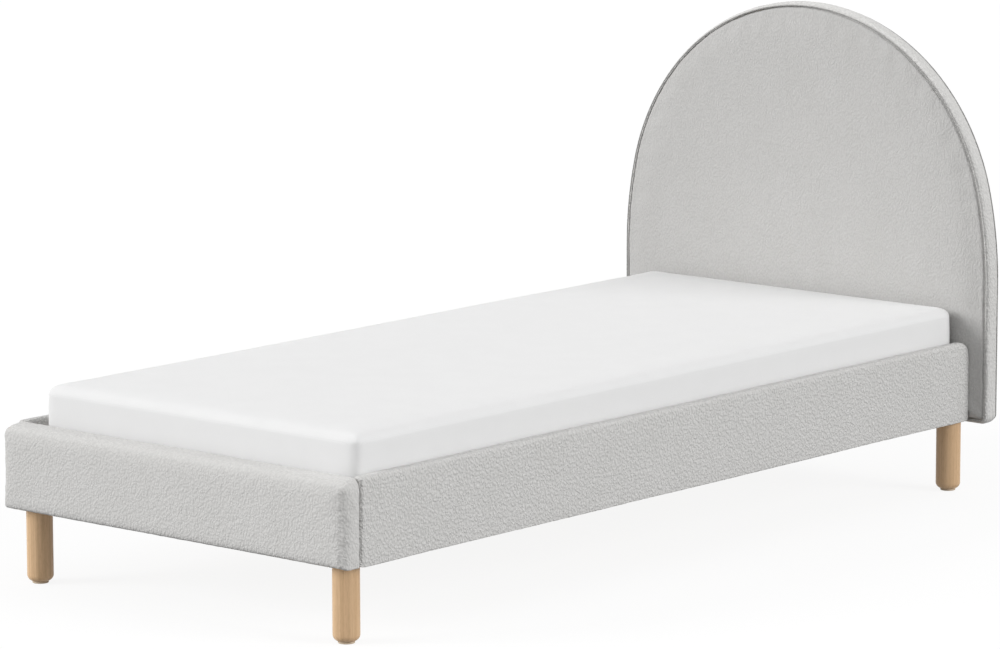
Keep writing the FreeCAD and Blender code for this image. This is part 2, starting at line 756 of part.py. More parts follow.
make_footboard_core()
make_footboard_cover()
for side_name, side_sign in SIDES.items():
    make_rail_board(side_name, side_sign)
    make_rail_cover(side_name, side_sign)
make_headboard_panel()
make_headboard_pads()
make_headboard_edge()
for side_name, side_sign in SIDES.items():
    for bed_end in ENDS:
        make_corner_block(side_name, side_sign, bed_end)
        make_leg(side_name, side_sign, bed_end)
make_glides()
for side_name, side_sign in SIDES.items():
    make_ledge(side_name, side_sign)
    make_strap(side_name, side_sign)
for slat_index in range(int(SIZES["slat_count"])):
    make_slat(slat_index)
for bed_end in ENDS:
    make_end_bolts(bed_end)
make_mattress()
check_document()
write_parts()
print(len(sub_parts), "sub-parts written")
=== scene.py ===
"""Single bed with an arched, upholstered headboard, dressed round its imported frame.

Lengths are in metres. X runs across the bed, Y from the footboard to the headboard and Z up from the
floor. Each sub-assembly is a class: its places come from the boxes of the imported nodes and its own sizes
are fields. Each finish is a frozen dataclass that makes one node-based material.
"""

import itertools
import json
import logging
import math
from dataclasses import dataclass, replace
from enum import Enum

import bmesh
import bpy
import numpy as np
from mathutils import Matrix, Vector

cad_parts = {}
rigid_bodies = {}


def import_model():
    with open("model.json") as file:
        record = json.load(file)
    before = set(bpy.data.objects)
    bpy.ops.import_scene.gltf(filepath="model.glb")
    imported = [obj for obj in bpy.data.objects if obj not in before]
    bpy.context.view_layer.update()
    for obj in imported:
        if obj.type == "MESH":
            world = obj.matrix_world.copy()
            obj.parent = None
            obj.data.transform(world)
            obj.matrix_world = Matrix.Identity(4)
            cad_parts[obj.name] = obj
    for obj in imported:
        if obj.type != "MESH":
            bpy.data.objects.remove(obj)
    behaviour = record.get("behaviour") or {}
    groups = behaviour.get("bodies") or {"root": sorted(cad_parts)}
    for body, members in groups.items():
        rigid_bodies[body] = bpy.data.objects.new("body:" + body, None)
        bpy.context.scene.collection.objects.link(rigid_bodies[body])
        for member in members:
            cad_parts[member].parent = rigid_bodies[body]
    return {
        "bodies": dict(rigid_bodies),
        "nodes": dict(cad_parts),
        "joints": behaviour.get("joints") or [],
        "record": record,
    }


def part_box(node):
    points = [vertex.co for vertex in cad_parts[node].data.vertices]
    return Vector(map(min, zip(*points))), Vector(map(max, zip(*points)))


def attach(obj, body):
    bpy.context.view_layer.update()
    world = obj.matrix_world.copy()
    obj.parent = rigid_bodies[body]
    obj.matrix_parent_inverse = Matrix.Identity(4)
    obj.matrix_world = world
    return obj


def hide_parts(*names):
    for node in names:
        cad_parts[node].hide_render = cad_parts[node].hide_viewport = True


log = logging.getLogger("bed")
Array = np.ndarray
Colour = tuple[float, float, float]

WHITE = (1.0, 1.0, 1.0)
SLATS = 15
STAPLE = (0.0055, 0.0006, 0.0005)   # half a staple's length, width and height
CLOTH_ROWS = 512        # cells of random cloth heights before the pattern comes round across the cloth
CUBE_ROWS = 64          # cells of random heights in space before they come round, each way
CUBE_START = 200.0      # cells by which the bed lies away from the cubes' first corner
UNLAID = 1e-9           # length of cloth round a closed grid whose place on the cloth isn't used
MERGE_DECIMALS = 5      # points that agree to this many decimals of a metre become one
WELD_GAP = 0.00002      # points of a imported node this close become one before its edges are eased
EASED_ANGLE = 30        # degrees by which faces must lean apart for their edge to be eased


class Body(Enum):
    """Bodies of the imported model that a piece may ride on."""

    FRAME = "frame"
    MATTRESS = "mattress"


class Place(Enum):
    """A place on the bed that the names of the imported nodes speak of."""

    @property
    def word(self) -> str:
        """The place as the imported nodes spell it."""
        return self.name.lower()


class Side(Place):
    """Long sides of the bed, each with its sign along X."""

    LEFT = -1
    RIGHT = 1


class End(Place):
    """Ends of the bed, each with its sign along Y."""

    FRONT = -1
    REAR = 1


class Axis(Enum):
    """Axes of the bed, as places in a point."""

    X = 0
    Y = 1
    Z = 2


# Curves and surfaces --------------------------------------------------------------------------

def lengths_along(path: Array) -> Array:
    """Distance from the first point of a path to each of its points: the running sum of its steps.

    Args:
        path: points, one a row.

    Returns:
        One distance a point, starting at 0.
    """
    return np.concatenate([[0.0], np.cumsum(np.linalg.norm(np.diff(path, axis=0), axis=1))])


def looped(path: Array) -> Array:
    """A path with its first point again at its end."""
    return np.vstack([path, path[:1]])


def angles_round(steps: int) -> Array:
    """Angles of that many even steps round a circle, from 0."""
    return np.linspace(0, 2 * math.pi, steps + 1)[:-1]


def roll_off(gap: Array, radius: Array | float) -> Array:
    """Drop of a surface towards an edge that is rounded by a quarter circle: r - √(r² - (r - d)²).

    Args:
        gap: distance d of each point from the edge.
        radius: the edge's radius r, beyond which there is no drop.

    Returns:
        One drop a point.
    """
    inside = np.clip(radius - gap, 0, radius)
    return radius - np.sqrt(radius**2 - inside**2)


def arc(centre: tuple[float, float], radius: float, start: float, end: float, steps: int = 48) -> Array:
    """Points on a circle arc: centre + radius · (cos a, sin a), with the angle a in even steps.

    Args:
        centre: middle of the circle.
        radius: its radius.
        start: first angle in degrees.
        end: last angle in degrees.
        steps: number of points.

    Returns:
        Points, one a row.
    """
    angle = np.radians(np.linspace(start, end, steps))
    return np.column_stack([centre[0] + radius * np.cos(angle), centre[1] + radius * np.sin(angle)])


def rounded(corners: Array, radii: Array, steps: int = 7) -> Array:
    """Open path through corners that are rounded by circle arcs.

    A corner's arc is tangent to both its sides, and its centre lies on the line that halves the corner.
    The two end points keep their places.

    Args:
        corners: corner points, one a row.
        radii: radius at each corner; those at the two ends are not read.
        steps: points on each arc.

    Returns:
        Points of the path, one a row.
    """
    parts = [corners[:1]]
    for before, here, after, radius in zip(corners[:-2], corners[1:-1], corners[2:], radii[1:-1]):
        back = (before - here) / np.linalg.norm(before - here)
        ahead = (after - here) / np.linalg.norm(after - here)
        half = math.acos(float(np.clip(back @ ahead, -1.0, 1.0))) / 2
        centre = here + (back + ahead) / np.linalg.norm(back + ahead) * radius / math.sin(half)
        first = here + back * radius / math.tan(half) - centre
        last = here + ahead * radius / math.tan(half) - centre
        whole = math.pi - 2 * half
        turn = np.linspace(0.0, whole, steps)[:, None]
        parts.append(centre + (np.sin(whole - turn) * first + np.sin(turn) * last) / math.sin(whole))
    return np.concatenate(parts + [corners[-1:]])


def respace(path: Array, count: int, crowd: float = 0.0, closed: bool = False) -> Array:
    """The same path with its points spaced anew, closer together where it bends.

    Each step weighs its length plus crowd times the angle that the path turns there, and the new points
    lie at even shares of the whole weight.

    Args:
        path: points, one a row; a closed path ends where it starts.
        count: number of new points.
        crowd: metres of length that a turn of one radian counts for.
        closed: leaves out the last point, which is the first one again.

    Returns:
        New points, one a row.
    """
    step = np.diff(path, axis=0)
    heading = np.unwrap(np.arctan2(step[:, 1], step[:, 0]))
    turn = np.abs(np.diff(heading, prepend=heading[0]))
    turn = (turn + np.append(turn[1:], turn[0])) / 2
    weight = np.concatenate([[0.0], np.cumsum(np.linalg.norm(step, axis=1) + crowd * turn)])
    share = np.linspace(0.0, weight[-1], count + 1 if closed else count)[: count]
    return np.column_stack([np.interp(share, weight, path[:, k]) for k in range(2)])


def outward(path: Array, closed: bool = True) -> Array:
    """Unit normals of a flat path that runs counter-clockwise: each step's heading turned to the right.

    Args:
        path: points, one a row.
        closed: whether the last point joins the first.

    Returns:
        One normal a point.
    """
    if closed:
        heading = np.roll(path, -1, axis=0) - np.roll(path, 1, axis=0)
    else:
        heading = np.gradient(path, axis=0)
    heading /= np.linalg.norm(heading, axis=1)[:, None]
    return np.column_stack([heading[:, 1], -heading[:, 0]])


def random_heights(across: Array, along: Array, cell: tuple[float, float], turn: float, seed: int) -> Array:
    """Smooth random heights from -1 to 1 over a cloth.

    A lattice carries a random height at each corner. Between corners the height is eased by 3t² - 2t³
    both ways, and the lattice closes on itself after one turn along the cloth.

    Args:
        across: first cloth coordinate.
        along: second cloth coordinate.
        cell: size of a lattice cell, across and along.
        turn: length after which the pattern repeats along the cloth.
        seed: choice of the random heights.

    Returns:
        One height for each pair of coordinates.
    """
    rows = max(2, round(turn / cell[1]))
    table = np.random.default_rng(seed).uniform(-1.0, 1.0, (CLOTH_ROWS, rows))
    a, b = across / cell[0], along / turn * rows
    i, j = np.floor(a).astype(int), np.floor(b).astype(int)
    f, g = a - i, b - j
    f, g = f * f * (3 - 2 * f), g * g * (3 - 2 * g)
    here, after = i % CLOTH_ROWS, (i + 1) % CLOTH_ROWS
    near = table[here, j % rows] * (1 - f) + table[after, j % rows] * f
    far = table[here, (j + 1) % rows] * (1 - f) + table[after, (j + 1) % rows] * f
    return near * (1 - g) + far * g


def heights_in_space(points: Array, cell: float, seed: int) -> Array:
    """Smooth random heights from -1 to 1 at points in space.

    As random_heights, on a lattice of cubes: each corner's height counts by the eased share of the cell
    that lies across from it, and the eight add up.

    Args:
        points: places, one a row.
        cell: side of a cube.
        seed: choice of the random heights.

    Returns:
        One height a point.
    """
    table = np.random.default_rng(seed).uniform(-1.0, 1.0, (CUBE_ROWS,) * 3)
    place = points / cell + CUBE_START
    corner = np.floor(place).astype(int)
    share = place - corner
    share = share * share * (3 - 2 * share)
    total = np.zeros(len(points))
    for step in itertools.product((0, 1), repeat=3):
        weight = np.prod(np.where(np.array(step) == 1, share, 1 - share), axis=1)
        i, j, k = ((corner + step) % CUBE_ROWS).T
        total += weight * table[i, j, k]
    return total


def fill_rim(rim: Array, centre: tuple[float, float], draw: float = 1.6) -> tuple[Array, Array]:
    """Square grid of points that fills a closed rim.

    The outline of the square lies on the rim. A smaller square inside it, k of m steps from the middle,
    lies on the rim drawn in towards the centre to 1 - ((m - k) / m)^draw of its size.

    Args:
        rim: points, four times an even number, counter-clockwise from the middle of the lower side.
        centre: point that the squares shrink to.
        draw: how closely the outer squares lie to the rim.

    Returns:
        The grid, and each point's distance from the rim.
    """
    cells = len(rim) // 4
    m = cells // 2
    i, j = np.meshgrid(np.arange(cells + 1) - m, np.arange(cells + 1) - m, indexing="ij")
    k = np.maximum(np.abs(i), np.abs(j))
    with np.errstate(divide="ignore", invalid="ignore"):
        a = np.where(k > 0, i * m / np.maximum(k, 1), 0.0)
        b = np.where(k > 0, j * m / np.maximum(k, 1), -m)
    lower, right, upper = (j == -k), (i == k), (j == k)
    place = np.where(lower, a, np.where(right, 2 * m + b, np.where(upper, 4 * m - a, 6 * m - b)))
    place = place % (8 * m)
    x, z = (np.interp(place, np.arange(8 * m + 1), looped(rim)[:, column]) for column in (0, 1))
    size = 1 - ((m - k) / m) ** draw
    grid = np.stack([centre[0] + (x - centre[0]) * size, centre[1] + (z - centre[1]) * size], axis=-1)
    gap = np.hypot(x - grid[..., 0], z - grid[..., 1])
    return grid, gap


def perimeter(grid: Array) -> Array:
    """The points round the edge of a grid, in order, without the first one again.

    Args:
        grid: rows by columns by values.

    Returns:
        Points by values.
    """
    return np.concatenate([grid[:-1, 0], grid[-1, :-1], grid[:0:-1, -1], grid[0, :0:-1]])


def crowded(low: float, high: float, step: float, edge: float, first: float = 0.002) -> Array:
    """Places from low to high: close together at both ends and a step apart in between.

    From each end the spacing grows evenly from first to step over the length edge.

    Args:
        low: first place.
        high: last place.
        step: spacing in the middle.
        edge: length at each end over which the spacing grows.
        first: spacing at the very end.

    Returns:
        The places, evenly stretched to meet both ends.
    """
    count = max(3, int(round(2 * edge / (first + step))))
    ramp = np.cumsum(np.linspace(first, step, count))
    ramp = ramp / ramp[-1] * edge
    middle = np.linspace(low + edge, high - edge, max(2, int(round((high - low - 2 * edge) / step)) + 1))
    return np.concatenate([[low], low + ramp[:-1], middle, high - ramp[:-1][::-1], [high]])


# Meshes ---------------------------------------------------------------------------------------

class Skin:
    """A mesh gathered from grids of points, whose shared rims are joined.

    Each point also carries how far it lies from the nearest seam, and each corner of a face its place on
    the cloth, in metres.
    """

    def __init__(self) -> None:
        """Starts with no grids."""
        self.points: list[Array] = []
        self.quads: list[Array] = []
        self.cloth: list[Array] = []
        self.seams: list[Array] = []
        self.count = 0

    def grid(self, points: Array, cloth: Array | None = None, seam: Array | float = 1.0,
             loop_rows: float = 0.0, loop_columns: float = 0.0) -> None:
        """Adds a grid: four neighbouring points make a face.

        Args:
            points: rows by columns by 3.
            cloth: rows by columns by 2; None lays the cloth by X and Z.
            seam: distance of each point from its seam.
            loop_rows: length of cloth round the rows where the last row joins the first, or 0.
            loop_columns: the same for the columns.
        """
        rows, columns = points.shape[:2]
        if cloth is None:
            cloth = points[..., [0, 2]]
        i = np.arange(rows if loop_rows else rows - 1)[:, None]
        j = np.arange(columns if loop_columns else columns - 1)[None, :]
        corners, laid = [], []
        for down, right in ((0, 0), (1, 0), (1, 1), (0, 1)):
            r, c = i + down + 0 * j, j + right + 0 * i
            corners.append((r % rows) * columns + c % columns)
            place = cloth[r % rows, c % columns].astype(float)
            place[..., 0] += (r // rows) * loop_rows
            place[..., 1] += (c // columns) * loop_columns
            laid.append(place)
        self.points.append(points.reshape(-1, 3))
        self.seams.append(np.broadcast_to(seam, (rows, columns)).reshape(-1).astype(float))
        self.quads.append(np.stack(corners, axis=-1).reshape(-1, 4) + self.count)
        self.cloth.append(np.stack(laid, axis=-2).reshape(-1, 4, 2))
        self.count += rows * columns

    def fan(self, ring: Array, cloth: Array | None = None) -> None:
        """Closes a ring of points with triangles to its middle.

        Args:
            ring: points round the hole, rows of 3.
            cloth: their places on the cloth; None lays it by X and Z.
        """
        middle = np.broadcast_to(ring.mean(axis=0), ring.shape)
        laid = None if cloth is None else np.stack([cloth] * 2)
        self.grid(np.stack([ring, middle]), laid, loop_columns=UNLAID)

    def copies(self, shifts: Array) -> "Skin":
        """A skin with one copy of this one at each shift, rows of 3."""
        many = Skin()
        points, quads = np.concatenate(self.points), np.concatenate(self.quads)
        number = len(shifts)
        many.points = [(points[None] + shifts[:, None]).reshape(-1, 3)]
        many.quads = [(quads[None] + (np.arange(number) * self.count)[:, None, None]).reshape(-1, 4)]
        many.cloth = [np.tile(np.concatenate(self.cloth), (number, 1, 1))]
        many.seams = [np.tile(np.concatenate(self.seams), number)]
        many.count = number * self.count
        return many

    def build(self, name: str, inside: Array | None = None) -> bpy.types.Object:
        """Joins the grids and makes the mesh, with its faces outwards.

        Points that agree to a hundredth of a millimetre become one, and a face that has lost a side
        turns into a triangle.

        Args:
            name: name of the object.
            inside: a point inside an open skin; the mean of the points where it is left out.

        Returns:
            The object, at the origin.
        """
        points, quads = np.concatenate(self.points), np.concatenate(self.quads)
        cloth, seams = np.concatenate(self.cloth), np.concatenate(self.seams)
        _, first, merged = np.unique(np.round(points, MERGE_DECIMALS), axis=0, return_index=True,
                                     return_inverse=True)
        points, seams, quads = points[first], seams[first], merged.reshape(-1)[quads]
        kept = quads != np.roll(quads, -1, axis=1)
        whole = kept.sum(axis=1) > 2
        kept, quads, cloth = kept[whole], quads[whole], cloth[whole]
        sizes = kept.sum(axis=1)
        loops = quads[kept].astype(np.int32)
        mesh = bpy.data.meshes.new(name)
        mesh.vertices.add(len(points))
        mesh.vertices.foreach_set("co", points.astype(np.float32).ravel())
        mesh.loops.add(len(loops))
        mesh.loops.foreach_set("vertex_index", loops)
        mesh.polygons.add(len(sizes))
        starts = np.concatenate([[0], np.cumsum(sizes)[:-1]])
        mesh.polygons.foreach_set("loop_start", starts.astype(np.int32))
        mesh.uv_layers.new(name="cloth").uv.foreach_set("vector", cloth[kept].astype(np.float32).ravel())
        mesh.attributes.new("seam", "FLOAT", "POINT").data.foreach_set("value", seams.astype(np.float32))
        mesh.update(calc_edges=True)
        mesh.validate()
        mesh.shade_smooth()
        piece = shown(name, mesh)
        face_outwards(piece, points.mean(axis=0) if inside is None else inside)
        return piece


def shown(name: str, data: bpy.types.ID) -> bpy.types.Object:
    """A new object in the scene for a mesh, a lens or a light."""
    made = bpy.data.objects.new(name, data)
    bpy.context.scene.collection.objects.link(made)
    return made


def face_outwards(piece: bpy.types.Object, inside: Array) -> None:
    """Makes a piece's faces agree, and turns them over if they look inwards.

    They look inwards if the sum of area · normal · (middle - inside) over the faces is negative.

    Args:
        piece: the piece.
        inside: a point inside it.
    """
    work = bmesh.new()
    work.from_mesh(piece.data)
    bmesh.ops.recalc_face_normals(work, faces=work.faces)
    work.to_mesh(piece.data)
    work.free()
    faces = piece.data.polygons
    looks = np.sum((read(faces, "center", 3) - inside) * read(faces, "normal", 3), axis=1)
    if float(looks @ read(faces, "area")) < 0:
        piece.data.flip_normals()


def read(items: bpy.types.bpy_prop_collection, word: str, width: int = 1,
         kind: type = np.float32) -> Array:
    """One property of each of a mesh's points, corners or faces.

    Args:
        items: the points, corners or faces.
        word: the property.
        width: how many numbers it has.
        kind: sort of number.

    Returns:
        Items by width, or one number an item where the width is 1.
    """
    values = np.empty(len(items) * width, kind)
    items.foreach_get(word, values)
    return values.reshape(-1, width) if width > 1 else values


def coordinates(mesh: bpy.types.Mesh, kind: str = "co") -> Array:
    """Places of a mesh's points, or its point normals.

    Args:
        mesh: the mesh.
        kind: "co" for places or "normal" for normals.

    Returns:
        Points by 3.
    """
    source, word = (mesh.vertices, "co") if kind == "co" else (mesh.vertex_normals, "vector")
    return read(source, word, 3).astype(float)


def move_points(mesh: bpy.types.Mesh, points: Array) -> None:
    """Puts a mesh's points in new places, rows of 3."""
    mesh.vertices.foreach_set("co", points.astype(np.float32).ravel())
    mesh.update()


def point_values(mesh: bpy.types.Mesh, name: str) -> Array:
    """One number a point from the mesh's attribute of that name."""
    return read(mesh.attributes[name].data, "value").astype(float)


def cloth_places(mesh: bpy.types.Mesh) -> Array:
    """Place of each point on the cloth, points by 2, from one of the face corners that meet there."""
    places = np.zeros((len(mesh.vertices), 2))
    places[read(mesh.loops, "vertex_index", kind=np.int32)] = read(mesh.uv_layers["cloth"].uv, "vector", 2)
    return places


def settle(piece: bpy.types.Object) -> None:
    """Turns what a piece's modifiers show into its own mesh, and takes the modifiers off."""
    graph = bpy.context.evaluated_depsgraph_get()
    mesh = bpy.data.meshes.new_from_object(piece.evaluated_get(graph), preserve_all_data_layers=True,
                                           depsgraph=graph)
    old = piece.data
    piece.modifiers.clear()
    piece.data = mesh
    mesh.name = piece.name
    bpy.data.meshes.remove(old)


def subdivide(piece: bpy.types.Object, levels: int) -> None:
    """Divides every face of a piece four ways, as many times as levels, on one smooth surface."""
    modifier = piece.modifiers.new("smooth", "SUBSURF")
    modifier.levels = modifier.render_levels = levels
    settle(piece)


def close_back(piece: bpy.types.Object) -> None:
    """Closes the one open rim of a piece with a single flat face, and creases the edges round it."""
    work = bmesh.new()
    work.from_mesh(piece.data)
    rim = [edge for edge in work.edges if edge.is_boundary]
    made = bmesh.ops.edgeloop_fill(work, edges=rim)["faces"]
    bmesh.ops.recalc_face_normals(work, faces=work.faces)
    for face in made:
        face.smooth = False
    for edge in rim:
        edge.smooth = False
    work.to_mesh(piece.data)
    work.free()


# Cloth work -----------------------------------------------------------------------------------

@dataclass(frozen=True)
class Stuffing:
    """Fills a cover from within by cloth simulation, and trims what it swells by."""

    pressure: float = 4.0
    reach: float = 0.004
    frames: int = 20
    stiffness: float = 15.0

    def fill(self, piece: bpy.types.Object, held: Array) -> None:
        """Blows the cover up with no gravity, and lets no point move further than reach.

        Args:
            piece: the cover.
            held: true for the points that are sewn or stapled down.
        """
        before = coordinates(piece.data)
        group = piece.vertex_groups.new(name="held")
        group.add(np.flatnonzero(held).tolist(), 1.0, "REPLACE")
        cloth = piece.modifiers.new("stuffing", "CLOTH")
        cloth.settings.vertex_group_mass = "held"
        cloth.settings.use_pressure = True
        cloth.settings.uniform_pressure_force = self.pressure
        cloth.settings.effector_weights.gravity = 0.0
        cloth.settings.tension_stiffness = cloth.settings.compression_stiffness = self.stiffness
        cloth.point_cache.frame_start, cloth.point_cache.frame_end = 1, self.frames
        for frame in range(1, self.frames + 1):
            bpy.context.scene.frame_set(frame)
        swollen = piece.evaluated_get(bpy.context.evaluated_depsgraph_get())
        after = coordinates(swollen.data)
        piece.modifiers.clear()
        piece.vertex_groups.clear()
        shift = after - before
        length = np.linalg.norm(shift, axis=1)[:, None]
        log.info("%s swelled by up to %.1f mm", piece.name, length.max() * 1000)
        move_points(piece.data, before + shift * np.minimum(1.0, self.reach / np.maximum(length, 1e-9)))
        bpy.context.scene.frame_set(1)


@dataclass(frozen=True)
class Tailoring:
    """Relief that a cloth and its sewing give a cover, laid over the finished surface.

    Height above the surface = slub · (1 - e^(-(d/fade)²)) + slow wave + pucker · e^(-d/reach)
    - groove · e^(-(d/width)²), where d is the distance from the seam.
    """

    slub: float = 0.00025
    slub_cell: tuple[float, float] = (0.009, 0.02)
    slub_start: float = 3.0
    slub_fade: float = 0.004
    wave: float = 0.0005
    wave_cell: float = 0.13
    groove: float = 0.0
    groove_width: float = 0.003
    pucker: float = 0.0
    pucker_cell: float = 0.016
    pucker_reach: float = 0.022
    seed: int = 3

    def work(self, piece: bpy.types.Object, turn: float = 4.0) -> None:
        """Moves each point of a piece along its normal by the height of the relief.

        Args:
            piece: the cover.
            turn: length after which the cloth's second coordinate comes round to its start.
        """
        mesh = piece.data
        cloth, seam = cloth_places(mesh), np.abs(point_values(mesh, "seam"))
        places = coordinates(mesh)
        slub = random_heights(cloth[:, 0] + self.slub_start, cloth[:, 1], self.slub_cell, turn, self.seed)
        wave = heights_in_space(places, self.wave_cell, self.seed + 1)
        sewn = heights_in_space(places, self.pucker_cell, self.seed + 2)
        height = (self.slub * slub * (1 - np.exp(-((seam / self.slub_fade) ** 2))) + self.wave * wave
                  + self.pucker * sewn * np.exp(-seam / self.pucker_reach)
                  - self.groove * np.exp(-((seam / self.groove_width) ** 2)))
        move_points(mesh, places + coordinates(mesh, "normal") * height[:, None])


# Finishes -------------------------------------------------------------------------------------

def shaded(colour: Colour, share: float) -> Colour:
    """A colour made darker or lighter: each part times the share."""
    return tuple(share * value for value in colour)


class Bench:
    """Node tree of one material, with short ways to add nodes and wire them."""

    def __init__(self, name: str) -> None:
        """Makes the material with its shader."""
        self.material = bpy.data.materials.new(name)
        self.material.use_nodes = True
        self.tree = self.material.node_tree
        self.shader = next(n for n in self.tree.nodes if n.type == "BSDF_PRINCIPLED")

    def feed(self, socket: bpy.types.NodeSocket, value: object) -> None:
        """Wires a socket to another one, or sets its value; a colour becomes opaque."""
        if isinstance(value, bpy.types.NodeSocket):
            self.tree.links.new(value, socket)
        else:
            socket.default_value = (*value, 1.0) if socket.type == "RGBA" else value

    def add(self, kind: str, inputs: dict, **settings: object) -> bpy.types.Node:
        """Adds a shader node.

        Args:
            kind: the node's type, without its first word.
            inputs: value or socket for each of its inputs.
            settings: the node's own options.

        Returns:
            The node.
        """
        node = self.tree.nodes.new("ShaderNode" + kind)
        for key, value in settings.items():
            setattr(node, key, value)
        for key, value in inputs.items():
            self.feed(node.inputs[key], value)
        return node

    def set(self, **values: object) -> None:
        """Feeds the shader's inputs, named with _ for a space."""
        for key, value in values.items():
            self.feed(self.shader.inputs[key.replace("_", " ")], value)

    def place(self, source: str, scale: tuple[float, float, float] = (1, 1, 1),
              turn: tuple[float, float, float] = (0, 0, 0)) -> bpy.types.NodeSocket:
        """Coordinates for a pattern: Object or UV, scaled along each axis and turned in degrees."""
        origin = self.add("TexCoord", {}).outputs[source]
        mapping = self.add("Mapping", {"Vector": origin, "Scale": scale,
                                       "Rotation": tuple(math.radians(a) for a in turn)})
        return mapping.outputs["Vector"]

    def noise(self, vector: bpy.types.NodeSocket, scale: float, detail: float = 2.0,
              rough: float = 0.5, bend: float = 0.0) -> bpy.types.NodeSocket:
        """Cloudy values from 0 to 1."""
        return self.add("TexNoise", {"Vector": vector, "Scale": scale, "Detail": detail,
                                     "Roughness": rough, "Distortion": bend}).outputs["Fac"]

    def wave(self, vector: bpy.types.NodeSocket, scale: float, along: Axis,
             bend: float = 0.0) -> bpy.types.NodeSocket:
        """Even waves from 0 to 1 that follow each other along an axis."""
        return self.add("TexWave", {"Vector": vector, "Scale": scale, "Distortion": bend, "Detail": 1.0},
                        bands_direction=along.name).outputs["Fac"]

    def ramp(self, value: bpy.types.NodeSocket, *stops: tuple[float, Colour]) -> bpy.types.NodeSocket:
        """Colour for each value, blended between stops of place and colour."""
        node = self.add("ValToRGB", {"Fac": value})
        elements = node.color_ramp.elements
        while len(elements) < len(stops):
            elements.new(1.0)
        for element, (place, colour) in zip(elements, stops):
            element.position = place
            element.color = (*colour, 1.0)
        return node.outputs["Color"]

    def level(self, value: bpy.types.NodeSocket, low: float, high: float,
              start: float = 0.25, end: float = 0.75) -> bpy.types.NodeSocket:
        """A value carried from the range start to end onto the range low to high."""
        return self.add("MapRange", {"Value": value, "From Min": start, "From Max": end,
                                     "To Min": low, "To Max": high}).outputs["Result"]

    def blend(self, mode: str, share: float | bpy.types.NodeSocket, first: object,
              second: object) -> bpy.types.NodeSocket:
        """Two colours mixed in the given mode."""
        node = self.add("Mix", {}, data_type="RGBA", blend_type=mode)
        for number, value in ((0, share), (6, first), (7, second)):
            self.feed(node.inputs[number], value)
        return node.outputs[2]

    def tint(self, colour: object, value: bpy.types.NodeSocket, start: float, shade: Colour,
             end: float) -> bpy.types.NodeSocket:
        """A colour with a tint over it.

        Args:
            colour: the colour.
            value: pattern of the tint.
            start: value up to which the colour is multiplied by the whole shade.
            shade: the tint.
            end: value from which the colour is left as it is.

        Returns:
            The tinted colour.
        """
        return self.blend("MULTIPLY", 1.0, colour, self.ramp(value, (start, shade), (end, WHITE)))

    def sum(self, first: object, second: object, mode: str = "ADD") -> bpy.types.NodeSocket:
        """Two values joined by a sum, or by another sort of arithmetic."""
        return self.add("Math", {0: first, 1: second}, operation=mode).outputs[0]

    def bump(self, height: bpy.types.NodeSocket, depth: float,
             under: bpy.types.NodeSocket | None = None) -> bpy.types.NodeSocket:
        """Normal for a relief of that depth in metres, over another relief where one is given."""
        inputs = {"Height": height, "Distance": depth, "Strength": 1.0}
        if under is not None:
            inputs["Normal"] = under
        return self.add("Bump", inputs).outputs["Normal"]


@dataclass(frozen=True)
class Finish:
    """A finish by name, with the slot of the record that it belongs to."""

    name: str
    slot: str

    def material(self) -> bpy.types.Material:
        """The finish's material, made when it is first asked for."""
        if self.name not in bpy.data.materials:
            self.mix(Bench(self.name))
        return bpy.data.materials[self.name]

    def mix(self, bench: Bench) -> None:
        """Lays out the material's nodes on its bench."""
        raise NotImplementedError(self.name)


@dataclass(frozen=True)
class Boucle(Finish):
    """Looped upholstery cloth: round nubs of curled yarn, packed close, with fine fuzz over them."""

    trough: Colour
    crest: Colour
    nub: float = 0.0055
    relief: float = 0.0012
    stretch: tuple[float, float, float] = (1.0, 0.8, 1.0)
    sway: float = 1.3
    curl: float = 0.35
    fuzz: float = 0.10

    def mix(self, bench: Bench) -> None:
        """Bent cells make the nubs, and finer bent noise the curls of yarn in them."""
        place = bench.place("UV", self.stretch)
        lean = bench.add("TexNoise", {"Vector": place, "Scale": 0.55 / self.nub,
                                      "Detail": 2.0}).outputs["Color"]
        lean = bench.add("VectorMath", {0: lean, 1: (0.5, 0.5, 0.5)}, operation="SUBTRACT").outputs["Vector"]
        bent = bench.add("VectorMath", {0: lean, 1: (self.sway * self.nub,) * 3, 2: place},
                         operation="MULTIPLY_ADD").outputs["Vector"]
        cells = bench.add("TexVoronoi", {"Vector": bent, "Scale": 1 / self.nub, "Smoothness": 0.7,
                                         "Randomness": 1.0}, feature="SMOOTH_F1",
                          voronoi_dimensions="2D").outputs["Distance"]
        nubs = bench.level(cells, 1.0, 0.0, 0.08, 0.62)
        curls = bench.noise(bent, 3.2 / self.nub, 2.0, 0.6, 1.2)
        fuzz = bench.noise(place, 1500.0, 3.0, 0.6)
        height = bench.sum(nubs, bench.sum(curls, self.curl, "MULTIPLY"))
        height = bench.sum(height, bench.sum(fuzz, self.fuzz, "MULTIPLY"))
        # Colour runs from trough to crest with the relief's height. Part of it is the yarn's own tone; the
        # darker troughs are painted shade in the hollows between the nubs.
        yarn_and_hollow_shade = bench.ramp(bench.level(height, 0.0, 1.0, 0.25, 1.15), (0.0, self.trough), (1.0, self.crest))
        tone = bench.tint(yarn_and_hollow_shade, bench.noise(place, 9.0, 2.0), 0.3, (0.975, 0.975, 0.972), 0.7)
        bench.set(Base_Color=tone, Roughness=0.93, Normal=bench.bump(height, self.relief),
                  Specular_IOR_Level=0.18, Sheen_Weight=0.22, Sheen_Roughness=0.5)


